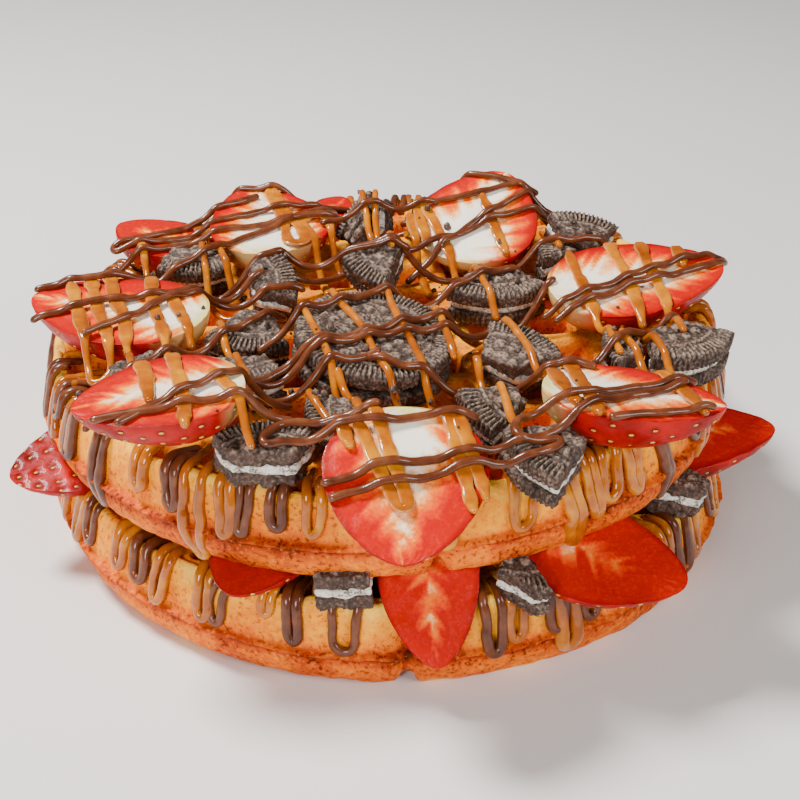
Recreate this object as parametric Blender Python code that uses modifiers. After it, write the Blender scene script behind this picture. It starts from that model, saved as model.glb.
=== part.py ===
# Two round waffles stacked on a layer of fruit and broken sandwich cookies, with more
# of both on top and two sauces drizzled over everything, each strand fused to what it
# lies on. Tables are in millimetres; the model is in metres, +Z up, and rests on z = 0.

import math
import random

import bmesh
import bpy
from mathutils import Matrix, Vector
from mathutils.bvhtree import BVHTree
from mathutils.kdtree import KDTree

MM = 0.001

# Driving dimensions, in millimetres and degrees
WAFFLE_R = 100.0
WAFFLE_H = 25.0
WAFFLE_SEAM = 10.5          # height of the moulding seam above the lower face
RIM_SLOPE = 4.0             # how far the rim draws in above the seam
RIM_SLOPE_LOW = 5.0         # and below it
RIM_STEPS = 36
SEAM_LIP = 1.1              # thin fin where the two irons met
SEAM_LIP_H = 0.7
POCKET_PITCH = 18.2
POCKET_TOP = 13.2
POCKET_FLOOR = 10.0
POCKET_DEPTH = 8.0
POCKET_FIRST = 12.2         # first pocket's centre from the quarter groove
POCKET_ROWS = 5
POCKET_ZONE_R = 92.5        # inside of the rim wall
ZONE_STEPS = 24
POCKET_LEAST = 0.4          # smallest share of a pocket that the rim may leave
GROOVE_TOP = 5.6            # groove that divides the waffle in four
GROOVE_FLOOR = 2.4
GROOVE_DEPTH = 6.0
LOWER_GRID_TURN = 3.5
UPPER_GRID_TURN = 9.0

UPPER_AT = (-2.0, 1.5)      # upper waffle's centre
UPPER_Z = 32.5              # and the height of its lower face there
UPPER_TILT_X = 2.3          # right side up
UPPER_TILT_Y = 0.3          # back up

COOKIE_R = 21.2
COOKIE_H = 11.0
WAFER_H = 4.3
CREAM_INSET = 1.6
COOKIE_STEPS = 16
RIM_BEVEL = 0.9

GAP = 0.3                   # between pieces that touch
CHOC_R = 1.3
CARAMEL_R = 1.4
SAUCE_SINK = 0.45           # share of its radius that a strand's axis lies above its bed
CHOC_HEADING = 19.0
CARAMEL_HEADING = -74.0
CHOC_APART = (17.0, 24.0)   # passes near and far apart by turns
CARAMEL_APART = (19.0, 28.0)
REACH_R = 98.0              # strands over the top stop here
DRIP_STEPS = 5
DRIP_START = 0.8            # below the waffle's upper edge
DRIP_OUT = 0.55             # share of its radius that a loop's axis stands off the wall
STEP = 2.2                  # between the points that a strand is draped by
SHORTEST = 7                # such points in a strand
SAG = 0.10                  # fall of a free strand at each such point
STRAND_TOLERANCE = 1.8      # of a strand's corners from the draped line
SEED = 11

# Where the origin comes to lie: the middle of the finished model's box
SHIFT = (-3.4, 5.75)

# Fruit: name, x, y, heading of its tip, pitch of its tip, roll, length, width, depth
TOP_FRUIT = [
    ("strawberry_top_1", -43.0, 45.5, 101, 5, 0, 46.0, 37.0, 13.5),
    ("strawberry_top_2", 25.0, 44.5, 55, 23, 8, 41.0, 38.0, 12.5),
    ("strawberry_top_3", 70.0, -5.5, 15, 4, 12, 52.5, 34.5, 14.5),
    ("strawberry_top_4", 60.5, -72.5, -10, -2, -2, 45.5, 30.5, 13.5),
    ("strawberry_top_5", 4.0, -101.5, -90, -27, 0, 43.0, 41.0, 9.5),
    ("strawberry_top_6", -55.5, -82.0, 194, -5, -3, 42.0, 31.5, 13.5),
    ("strawberry_top_7", -77.0, -18.0, 165, -1, -6, 52.5, 34.5, 14.5),
    ("strawberry_top_8", -74.5, 41.5, 150, 3, 0, 31.5, 26.5, 10.5),
    ("strawberry_top_9", -20.5, 70.5, 60, 4, 10, 14.5, 12.5, 8.5),
]
# The same for the fruit between the waffles, with the height of its cut face
MID_FRUIT = [
    ("strawberry_mid_1", -85.5, -36.0, 204, -8, -20, 44.0, 28.5, 9.5, 31.5),
    ("strawberry_mid_2", -31.5, -81.0, 252, -3, 0, 40.0, 29.5, 6.5, 31.5),
    ("strawberry_mid_3", 12.3, -93.0, -86, -44, 0, 39.0, 26.5, 5.5, 28.0),
    ("strawberry_mid_4", 56.0, -82.0, -31, -6, 12, 44.0, 34.5, 7.5, 33.0),
    ("strawberry_mid_5", 90.0, -25.5, 21, 1, 10, 47.5, 27.5, 11.5, 33.5),
    ("strawberry_mid_6", -65.5, 65.5, 138, -4, 0, 42.0, 29.5, 6.5, 31.5),
    ("strawberry_mid_7", 8.5, 88.5, 82, -4, 0, 42.0, 31.5, 7.5, 33.5),
    ("strawberry_mid_8", 73.5, 59.0, 37, -3, 0, 44.0, 30.5, 8.5, 36.0),
]
# Cookies: name, x and y of the unbroken cookie's axis, heading of the rim that is left,
# lean, heading of the lean, and its breaks as (heading from the rim's middle, distance
# from the axis / radius)
TOP_COOKIES = [
    ("cookie_whole", -5.5, -36.0, 0, 9, -48, []),
    ("cookie_top_1", -61.5, 36.0, -84, 16, -90, [(118, 0.04), (-118, 0.1), (180, -0.4)]),
    ("cookie_top_2", -50.0, 1.5, 18, 22, -70, [(112, 0.12), (-116, 0.02), (176, -0.4)]),
    ("cookie_top_3", -37.0, -15.0, -97, 15, -95, [(121, 0.05), (-123, 0.02), (170, -0.2)]),
    ("cookie_top_4", -42.0, -35.0, -82, 4, -90, [(120, 0.1), (-120, 0.0), (180, -0.42)]),
    ("cookie_top_5", -72.5, -35.0, -62, 12, -100, [(114, 0.1), (-114, 0.1), (180, -0.5)]),
    ("cookie_top_6", -28.5, -100.0, 96, 9, -90, [(118, 0.12), (-120, 0.1), (176, -0.4)]),
    ("cookie_top_7", -0.5, -70.0, 192, 10, -60, [(110, -0.1), (-110, 0.06), (180, -0.4)]),
    ("cookie_top_8", 36.5, -62.0, 214, 16, -60, [(112, 0.0), (-112, 0.02), (172, -0.26)]),
    ("cookie_top_9", 48.5, -80.0, 216, 12, -80, [(116, 0.06), (-112, 0.1), (184, -0.2)]),
    ("cookie_top_10", 25.5, -50.0, 48, 13, -112, [(120, 0.1), (-120, 0.08), (180, -0.25)]),
    ("cookie_top_11", 27.5, 13.5, -78, 7, -80, [(131, 0.02), (-131, 0.06), (180, -0.25)]),
    ("cookie_top_12", 4.5, 26.0, -130, 33, -100, [(114, 0.0), (-114, 0.08), (176, -0.24)]),
    ("cookie_top_13", -1.5, 37.5, 100, 56, -158, [(112, 0.05), (-114, 0.1), (182, -0.3)]),
    ("cookie_top_14", 55.5, 25.5, 84, 18, -66, [(116, 0.08), (-118, 0.05), (178, -0.3)]),
    ("cookie_top_15", 65.0, 26.5, 190, 10, -80, [(112, -0.2), (-108, -0.06), (180, -0.48)]),
    ("cookie_top_16", 71.5, -27.0, -56, 9, -60, [(130, 0.02), (-130, 0.06), (182, -0.25)]),
    ("cookie_top_17", 78.0, -38.5, 186, 6, -90, [(112, 0.0), (-112, 0.0), (180, -0.55)]),
]
# The same between the waffles, and the height of the lower face at the axis
MID_COOKIES = [
    ("cookie_mid_1", -9.5, -92.0, 0, 6, 200, [(-94, 0.26), (165, 0.28), (4, 0.29)], 24.5),
    ("cookie_mid_2", 33.0, -76.5, -84, 15, -82, [(112, -0.12), (-114, 0.02), (180, -0.1), (-41, 0.68)], 28.0),
    ("cookie_mid_3", 91.5, -55.5, 152, 8, -40, [(110, 0.0), (-108, 0.0), (180, -0.35)], 24.0),
    ("cookie_mid_4", -75.5, 14.5, 170, 5, 170, [(118, 0.1), (-118, 0.0), (180, -0.3)], 27.0),
    ("cookie_mid_5", -22.5, 75.0, 110, 6, 110, [(116, 0.1), (-118, 0.1), (180, -0.3)], 27.0),
    ("cookie_mid_6", 36.0, 71.0, 60, 6, 62, [(116, 0.0), (-118, 0.1), (180, -0.3)], 27.0),
]
# Sauce hanging over a rim: heading on the waffle, how far down, width of the loop
UPPER_CHOC_DRIPS = [(181, 15, 8), (196, 16, 7), (216, 14, 7), (252, 13, 7), (341, 10, 8),
                    (356, 10, 9)]
UPPER_CARAMEL_DRIPS = [(205, 13, 7), (236, 17, 7), (260, 13, 7), (296, 11, 8), (307, 15, 7),
                       (315, 16, 7), (330, 14, 7), (349, 15, 6)]
LOWER_CHOC_DRIPS = [(196, 11, 7), (214, 14, 7), (237, 13, 7), (256, 13, 7), (266, 14, 7),
                    (283, 14, 7), (300, 12, 7), (330, 14, 7)]
LOWER_CARAMEL_DRIPS = [(205, 15, 7), (229, 15, 6), (247, 11, 7), (293, 17, 6), (338, 14, 8)]

UPPER_MATRIX = (Matrix.Translation((UPPER_AT[0] * MM, UPPER_AT[1] * MM, UPPER_Z * MM))
                @ Matrix.Rotation(math.radians(-UPPER_TILT_X), 4, "Y")
                @ Matrix.Rotation(math.radians(UPPER_TILT_Y), 4, "X"))


def clear_scene():
    for item in list(bpy.data.objects):
        bpy.data.objects.remove(item, do_unlink=True)


def collection(name):
    made = bpy.data.collections.new(name)
    bpy.context.scene.collection.children.link(made)
    return made


def material(name, colour, roughness):
    made = bpy.data.materials.new(name)
    made.use_nodes = True
    shader = made.node_tree.nodes["Principled BSDF"]
    shader.inputs["Base Color"].default_value = (*colour, 1.0)
    shader.inputs["Roughness"].default_value = roughness
    shader.inputs["Metallic"].default_value = 0.0
    return made


def new_object(name, mesh, home, surface=None):
    made = bpy.data.objects.new(name, mesh)
    home.objects.link(made)
    if surface is not None:
        mesh.materials.append(surface)
    return made


def bmesh_object(name, bm, home, surface=None):
    mesh = bpy.data.meshes.new(name)
    bmesh.ops.recalc_face_normals(bm, faces=bm.faces)
    bm.to_mesh(mesh)
    bm.free()
    return new_object(name, mesh, home, surface)


def as_cutter(item):
    item.hide_render = True
    item.display_type = "WIRE"
    return item


def bake(item):
    # The object keeps what its modifiers and its place make of its mesh
    bpy.context.view_layer.update()
    graph = bpy.context.evaluated_depsgraph_get()
    mesh = bpy.data.meshes.new_from_object(item.evaluated_get(graph))
    mesh.transform(item.matrix_world)
    item.modifiers.clear()
    item.data = mesh
    item.matrix_world = Matrix.Identity(4)
    return item


def cut(item, cutter, operation="DIFFERENCE"):
    boolean = item.modifiers.new("cut", "BOOLEAN")
    boolean.object = cutter
    boolean.operation = operation
    boolean.solver = "EXACT"
    return bake(item)


def keep_largest(item):
    # Drops the loose scraps that a cut or a union leaves beside the main body
    bm = bmesh.new()
    bm.from_mesh(item.data)
    left = set(bm.faces)
    bodies = []
    while left:
        body = {left.pop()}
        edge_of_growth = list(body)
        while edge_of_growth:
            face = edge_of_growth.pop()
            for edge in face.edges:
                for other in edge.link_faces:
                    if other in left:
                        left.remove(other)
                        body.add(other)
                        edge_of_growth.append(other)
        bodies.append(body)
    bodies.sort(key=lambda faces: sum(face.calc_area() for face in faces))
    for body in bodies[:-1]:
        bmesh.ops.delete(bm, geom=list(body), context="FACES")
    bm.to_mesh(item.data)
    bm.free()
    return item


def flat_faces_merged(item):
    # Faces that lie in one plane become one, which leaves fewer triangles
    bm = bmesh.new()
    bm.from_mesh(item.data)
    bmesh.ops.dissolve_limit(bm, angle_limit=math.radians(0.3), verts=bm.verts, edges=bm.edges)
    bmesh.ops.triangulate(bm, faces=bm.faces)
    bm.to_mesh(item.data)
    bm.free()
    return item


def turned(name, profile, steps, home, surface=None):
    # Solid of revolution; the profile runs from the axis out and down the outer side
    mesh = bpy.data.meshes.new(name)
    points = [(radius * MM, 0.0, height * MM) for radius, height in profile]
    mesh.from_pydata(points, [(i, i + 1) for i in range(len(points) - 1)], [])
    item = new_object(name, mesh, home, surface)
    screw = item.modifiers.new("turn", "SCREW")
    screw.axis = "Z"
    screw.angle = math.tau
    screw.steps = steps
    screw.render_steps = steps
    screw.use_merge_vertices = True
    screw.merge_threshold = 0.00001
    return bake(item)


# Waffles


def waffle_profile(grow=0.0):
    top = WAFFLE_H + grow
    lip = SEAM_LIP_H + grow
    if grow:
        return [(0, top), (WAFFLE_R - RIM_SLOPE + grow, top), (WAFFLE_R + grow, WAFFLE_SEAM + 1.0),
                (WAFFLE_R + grow, WAFFLE_SEAM - 1.0), (WAFFLE_R - RIM_SLOPE_LOW + grow, -grow),
                (0, -grow)]
    return [(0, top), (WAFFLE_R - RIM_SLOPE, top), (WAFFLE_R - 0.8, WAFFLE_SEAM + lip),
            (WAFFLE_R + SEAM_LIP - 0.8, WAFFLE_SEAM), (WAFFLE_R - 0.8, WAFFLE_SEAM - lip),
            (WAFFLE_R - RIM_SLOPE_LOW, 0), (0, 0)]


def rim_radius(height):
    # Radius of the rim's wall at a height above the waffle's lower face
    if height >= WAFFLE_SEAM:
        share = (height - WAFFLE_SEAM) / (WAFFLE_H - WAFFLE_SEAM)
        return WAFFLE_R - 0.8 - (RIM_SLOPE - 0.8) * share
    share = (WAFFLE_SEAM - height) / WAFFLE_SEAM
    return WAFFLE_R - 0.8 - (RIM_SLOPE_LOW - 0.8) * share


def tapered_box(bm, at, top, floor, depth, length=None):
    # A cutter that is top wide at the waffle's face and floor wide at its depth
    over = 1.0
    wide = top + (top - floor) * over / depth
    made = bmesh.ops.create_cube(bm, size=1.0)["verts"]
    for vert in made:
        at_face = vert.co.z > 0
        width = wide if at_face else floor
        along = width if length is None else length
        vert.co.x = (at[0] + math.copysign(along / 2, vert.co.x)) * MM
        vert.co.y = (at[1] + math.copysign(width / 2, vert.co.y)) * MM
        vert.co.z = (over if at_face else -depth) * MM


def pocket_centres():
    for column in range(POCKET_ROWS):
        for row in range(POCKET_ROWS):
            x = POCKET_FIRST + column * POCKET_PITCH
            y = POCKET_FIRST + row * POCKET_PITCH
            if math.hypot(x, y) < POCKET_ZONE_R + POCKET_TOP * (0.5 - POCKET_LEAST):
                for sx in (1, -1):
                    for sy in (1, -1):
                        yield sx * x, sy * y


def face_cutters(turn, cutters):
    # The pockets of one face, clipped by the rim, and the cross of the quarter grooves
    bm = bmesh.new()
    for centre in pocket_centres():
        tapered_box(bm, centre, POCKET_TOP, POCKET_FLOOR, POCKET_DEPTH)
    pockets = bmesh_object("pockets", bm, cutters)
    zone = turned("rim_zone", [(0, 4), (POCKET_ZONE_R, 4), (POCKET_ZONE_R, -POCKET_DEPTH - 4),
                               (0, -POCKET_DEPTH - 4)], ZONE_STEPS, cutters)
    cut(pockets, zone, "INTERSECT")
    bpy.data.objects.remove(zone)
    grooves = []
    for quarter in (0, 90):
        bm = bmesh.new()
        tapered_box(bm, (0, 0), GROOVE_TOP, GROOVE_FLOOR, GROOVE_DEPTH, 2 * WAFFLE_R + 8)
        groove = bmesh_object("groove", bm, cutters)
        groove.rotation_euler.z = math.radians(quarter)
        grooves.append(bake(groove))
    for cutter in [pockets, *grooves]:
        cutter.data.transform(Matrix.Rotation(math.radians(turn), 4, "Z"))
        as_cutter(cutter)
    return [pockets, *grooves]


def waffle(name, turn, home, cutters, surface):
    body = turned(name, waffle_profile(), RIM_STEPS, home, surface)
    for face in (1, -1):
        for cutter in face_cutters(turn, cutters):
            if face == 1:
                cutter.data.transform(Matrix.Translation((0, 0, WAFFLE_H * MM)))
            else:
                cutter.data.transform(Matrix.Rotation(math.pi, 4, "X"))
                cutter.data.transform(Matrix.Rotation(math.radians(2 * turn), 4, "Z"))
            cut(body, cutter)
            bpy.data.objects.remove(cutter)
    return flat_faces_merged(body)


# Fruit


def strawberry(name, length, width, depth, home, surface, seed):
    # A half: its cut face is flat at z = 0, its tip points to +X and its skin hangs below.
    # Along the axis, t from 0 at the shoulder to 1 at the tip, the half width is
    # (width / 2) * sin(pi * t ** 0.76) ** 0.56, with a little seeded unevenness.
    rng = random.Random(seed)
    lean = rng.uniform(-0.07, 0.07)
    bump = rng.uniform(0.0, math.tau)
    bm = bmesh.new()
    bmesh.ops.create_uvsphere(bm, u_segments=12, v_segments=9, radius=1.0)
    for vert in bm.verts:
        share = math.acos(max(-1.0, min(1.0, vert.co.z))) / math.pi
        across = math.sin(math.pi * share ** 0.76) ** 0.56 if 0.0 < share < 1.0 else 0.0
        around = math.atan2(vert.co.y, vert.co.x)
        across *= 1.0 + 0.04 * math.sin(2 * around + bump)
        side = math.cos(around) * across * width / 2 + lean * length * math.sin(math.pi * share)
        fall = math.sin(around) * across * depth
        vert.co = Vector(((share - 0.5) * length * MM, side * MM, fall * MM))
    whole = list(bm.verts) + list(bm.edges) + list(bm.faces)
    bmesh.ops.bisect_plane(bm, geom=whole, plane_co=(0, 0, 0), plane_no=(0, 0, 1),
                           clear_outer=True, dist=0.00001)
    rim = [edge for edge in bm.edges if edge.is_boundary]
    bmesh.ops.triangle_fill(bm, edges=rim, use_beauty=True)
    return bmesh_object(name, bm, home, surface)


def pose(item, x, y, height, heading, pitch, roll):
    item.data.transform(Matrix.Rotation(math.radians(roll), 4, "X"))
    item.data.transform(Matrix.Rotation(math.radians(-pitch), 4, "Y"))
    item.data.transform(Matrix.Rotation(math.radians(heading), 4, "Z"))
    item.data.transform(Matrix.Translation((x * MM, y * MM, height * MM)))


# Cookies


def cookie(name, breaks, home, surface):
    # Two wafers with the cream between them drawn in a little, then broken by planes
    inner = COOKIE_R - CREAM_INSET
    profile = [(0, COOKIE_H), (COOKIE_R - RIM_BEVEL, COOKIE_H), (COOKIE_R, COOKIE_H - WAFER_H),
               (inner, COOKIE_H - WAFER_H), (inner, WAFER_H), (COOKIE_R, WAFER_H),
               (COOKIE_R - RIM_BEVEL, 0), (0, 0)]
    body = turned(name, profile, COOKIE_STEPS, home, surface)
    bm = bmesh.new()
    bm.from_mesh(body.data)
    for heading, away in breaks:
        normal = Vector((math.cos(math.radians(heading)), math.sin(math.radians(heading)), 0))
        whole = list(bm.verts) + list(bm.edges) + list(bm.faces)
        done = bmesh.ops.bisect_plane(bm, geom=whole, plane_co=normal * away * COOKIE_R * MM,
                                      plane_no=normal, clear_outer=True, dist=0.000001)
        rim = [edge for edge in done["geom_cut"] if isinstance(edge, bmesh.types.BMEdge)]
        bmesh.ops.contextual_create(bm, geom=rim)
    bmesh.ops.recalc_face_normals(bm, faces=bm.faces)
    bm.to_mesh(body.data)
    bm.free()
    return body


def pose_cookie(item, x, y, height, heading, lean, lean_to):
    item.data.transform(Matrix.Rotation(math.radians(heading), 4, "Z"))
    toward = math.radians(lean_to)
    axis = Vector((-math.sin(toward), math.cos(toward), 0))
    item.data.transform(Matrix.Rotation(math.radians(lean), 4, axis))
    item.data.transform(Matrix.Translation((x * MM, y * MM, height * MM)))


# Resting and clearance


def tree_of(item):
    return BVHTree.FromPolygons([vert.co.copy() for vert in item.data.vertices],
                                [tuple(face.vertices) for face in item.data.polygons])


def surface_points(item, spacing):
    item.data.calc_loop_triangles()
    points = [vert.co.copy() for vert in item.data.vertices]
    for triangle in item.data.loop_triangles:
        a, b, c = (item.data.vertices[index].co for index in triangle.vertices)
        count = max(1, int(max((b - a).length, (c - a).length, (c - b).length) / spacing))
        for i in range(count + 1):
            for j in range(count + 1 - i):
                points.append(a + (b - a) * (i / count) + (c - a) * (j / count))
    return points


def lower_onto(item, beds):
    # Drops the item straight down until GAP is left above the first thing it meets
    lift = 0.2
    item.data.transform(Matrix.Translation((0, 0, lift)))
    down = Vector((0, 0, -1))
    up = Vector((0, 0, 1))
    own = tree_of(item)
    fall = math.inf
    corners = [vert.co for vert in item.data.vertices]
    low_x, high_x = min(p.x for p in corners), max(p.x for p in corners)
    low_y, high_y = min(p.y for p in corners), max(p.y for p in corners)
    near = surface_points(item, 1.6 * MM)
    for bed in beds:
        tree = tree_of(bed)
        for point in near:
            hit = tree.ray_cast(point, down)
            if hit[0] is not None:
                fall = min(fall, hit[3])
        for vert in bed.data.vertices:
            if low_x < vert.co.x < high_x and low_y < vert.co.y < high_y:
                hit = own.ray_cast(vert.co, up)
                if hit[0] is not None:
                    fall = min(fall, hit[3])
    item.data.transform(Matrix.Translation((0, 0, -(fall - GAP * MM))))
    return item


# Sauce


def relaxed(bed):
    # A strand lies on its bed and hangs between high points: z = max(bed, mean - sag)
    heights = [max(bed)] * len(bed)
    for _ in range(160):
        for i in range(1, len(bed) - 1):
            mean = (heights[i - 1] + heights[i + 1]) / 2 - SAG * MM
            heights[i] = max(bed[i], mean)
        heights[0] = bed[0]
        heights[-1] = bed[-1]
    return heights


def simplified(points, tolerance):
    # Keeps the corners of a line that lie further than the tolerance from their chord
    if len(points) < 3:
        return points
    first, last = points[0], points[-1]
    chord = last - first
    worst, where = 0.0, 0
    for i in range(1, len(points) - 1):
        share = max(0.0, min(1.0, (points[i] - first).dot(chord) / max(chord.length_squared, 1e-12)))
        off = (points[i] - first - chord * share).length
        if off > worst:
            worst, where = off, i
    if worst < tolerance:
        return [first, last]
    return simplified(points[:where + 1], tolerance)[:-1] + simplified(points[where:], tolerance)


def parallel_lines(heading, near, far, seed):
    # Straight passes of the nozzle, in uneven pairs near and far apart by turns
    rng = random.Random(seed)
    along = Vector((math.cos(math.radians(heading)), math.sin(math.radians(heading)), 0))
    across = Vector((-along.y, along.x, 0))
    offset = -REACH_R + 5.0
    wide = False
    while offset < REACH_R - 3.0:
        reach = math.sqrt(REACH_R ** 2 - offset ** 2)
        bow = rng.uniform(-2.0, 2.0)
        count = max(3, int(2 * reach / STEP))
        line = []
        for i in range(count + 1):
            share = i / count
            side = offset + bow * math.sin(math.pi * share)
            line.append((along * (2 * share - 1) * reach + across * side) * MM)
        yield line
        offset += (far if wide else near) + rng.uniform(-1.6, 1.6)
        wide = not wide


class Sauce:
    """Strands draped over the finished pieces, kept clear of all but their own bed."""

    def __init__(self, beds):
        self.beds = beds
        self.trees = {bed.name: tree_of(bed) for bed in beds}
        self.strands = {bed.name: [] for bed in beds}
        self.laid = []

    def bed_below(self, x, y):
        best, owner = 0.0, None
        for name, tree in self.trees.items():
            hit = tree.ray_cast(Vector((x, y, 0.3)), Vector((0, 0, -1)))
            if hit[0] is not None and hit[0].z > best:
                best, owner = hit[0].z, name
        return best, owner

    def is_clear(self, point, radius, owner):
        for name, tree in self.trees.items():
            if name != owner and tree.find_nearest(point, radius + GAP * MM)[0] is not None:
                return False
        for name, tree in self.laid:
            if name != owner:
                if tree.find_range(point, radius + CARAMEL_R * MM + 2 * GAP * MM):
                    return False
        return True

    def add(self, points, radius, owner, facing="UP"):
        corners = simplified(points, STRAND_TOLERANCE * MM)
        dense = []
        for first, last in zip(corners, corners[1:]):
            count = max(1, int((last - first).length / (0.7 * MM)))
            dense += [first.lerp(last, i / count) for i in range(count)]
        dense.append(corners[-1])
        if any(not self.is_clear(point, radius, owner) for point in dense):
            return False
        tree = KDTree(len(dense))
        for i, point in enumerate(dense):
            tree.insert(point, i)
        tree.balance()
        self.laid.append((owner, tree))
        self.strands[owner].append((corners, radius, facing))
        return True

    def drape(self, line, radius, origin):
        places = [Vector((point.x + origin.x, point.y + origin.y, 0)) for point in line]
        found = [self.bed_below(place.x, place.y) for place in places]
        places = [place for place, hit in zip(places, found) if hit[1]]
        found = [hit for hit in found if hit[1]]
        bed = [height + radius * SAUCE_SINK for height, _ in found]
        heights = relaxed(bed)
        path = [Vector((place.x, place.y, height)) for place, height in zip(places, heights)]
        lies = [height - low < 0.3 * radius for height, low in zip(heights, bed)]
        owners = [hit[1] for hit in found]
        self.split(path, lies, owners, radius)

    def split(self, path, lies, owners, radius):
        # Each stretch that lies on one piece takes in the free spans beside it
        start = 0
        while start < len(path):
            if not lies[start]:
                start += 1
                continue
            owner = owners[start]
            end = start
            while end + 1 < len(path) and (not lies[end + 1] or owners[end + 1] == owner):
                end += 1
            begin = start
            while begin > 0 and not lies[begin - 1]:
                begin -= 1
            self.add_clear_run(path[begin:end + 1], radius, owner, start - begin)
            start = end + 1

    def add_clear_run(self, path, radius, owner, seat):
        # The longest stretch round the seat that is clear of every other piece
        clear = [self.is_clear(point, radius * 1.15, owner) for point in path]
        runs = []
        run = []
        for i, good in enumerate(clear + [False]):
            if good:
                run.append(i)
            elif run:
                runs.append(run)
                run = []
        for run in runs:
            on_bed = [i for i in run if self.trees[owner].find_nearest(path[i], radius * 0.8)[0]]
            if len(on_bed) < 2:
                continue
            while len(run) >= SHORTEST and not self.add([path[i] for i in run], radius, owner):
                run = run[1:-1]

    def loop(self, heading, drop, width, radius, matrix):
        points = []
        for i in range(DRIP_STEPS + 1):
            turn = math.pi * i / DRIP_STEPS
            aside = -math.cos(turn) * width / 2
            height = WAFFLE_H - DRIP_START - drop * math.sin(turn) ** 0.8
            out = (rim_radius(height) + radius / MM * DRIP_OUT) * MM
            angle = math.radians(heading) + aside / WAFFLE_R
            points.append(matrix @ Vector((out * math.cos(angle), out * math.sin(angle), height * MM)))
        return points

    def hang(self, drips, radius, matrix, owner):
        # U-shaped loops from the waffle's edge down its wall, moved aside where one isn't clear
        for heading, drop, width in drips:
            for nudge in (0, 3, -3, 6, -6):
                if self.add(self.loop(heading + nudge, drop, width, radius, matrix), radius, owner, "OUT"):
                    break

    def fuse(self):
        # One union on a collection of tubes joins each piece's strands to it
        for bed in self.beds:
            strands = self.strands[bed.name]
            if not strands:
                continue
            tubes = collection("strands_" + bed.name)
            for corners, radius, facing in strands:
                strand(corners, radius, facing, tubes)
            union = bed.modifiers.new("sauce", "BOOLEAN")
            union.operation = "UNION"
            union.operand_type = "COLLECTION"
            union.collection = tubes
            union.solver = "MANIFOLD"
            flat_faces_merged(keep_largest(bake(bed)))
            for item in list(tubes.objects):
                bpy.data.objects.remove(item, do_unlink=True)
            bpy.data.collections.remove(tubes)


def poly_curve(name, corners, closed, home):
    curve = bpy.data.curves.new(name, "CURVE")
    curve.dimensions = "3D"
    spline = curve.splines.new("POLY")
    spline.points.add(len(corners) - 1)
    for point, corner in zip(spline.points, corners):
        point.co = (*corner, 1.0)
    spline.use_cyclic_u = closed
    item = bpy.data.objects.new(name, curve)
    home.objects.link(item)
    return as_cutter(item)


def strand(corners, radius, facing, home):
    # A bar along the corners: three-sided with its ridge on top, or four-sided on a wall
    path = poly_curve("strand_path", corners, False, home)
    guides = [path]
    path.data.use_fill_caps = True
    if facing == "UP":
        low = -0.6 * radius
        section = poly_curve("strand_section", [(-radius, low, 0), (radius, low, 0), (0, radius, 0)],
                             True, home)
        guides.append(section)
        path.data.twist_mode = "Z_UP"
        path.data.bevel_mode = "OBJECT"
        path.data.bevel_object = section
    else:
        path.data.bevel_depth = radius
        path.data.bevel_resolution = 0
    bpy.context.view_layer.update()
    graph = bpy.context.evaluated_depsgraph_get()
    mesh = bpy.data.meshes.new_from_object(path.evaluated_get(graph))
    for guide in guides:
        bpy.data.objects.remove(guide, do_unlink=True)
    bm = bmesh.new()
    bm.from_mesh(mesh)
    bmesh.ops.remove_doubles(bm, verts=bm.verts, dist=0.000001)
    return as_cutter(bmesh_object("strand", bm, home))


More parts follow.
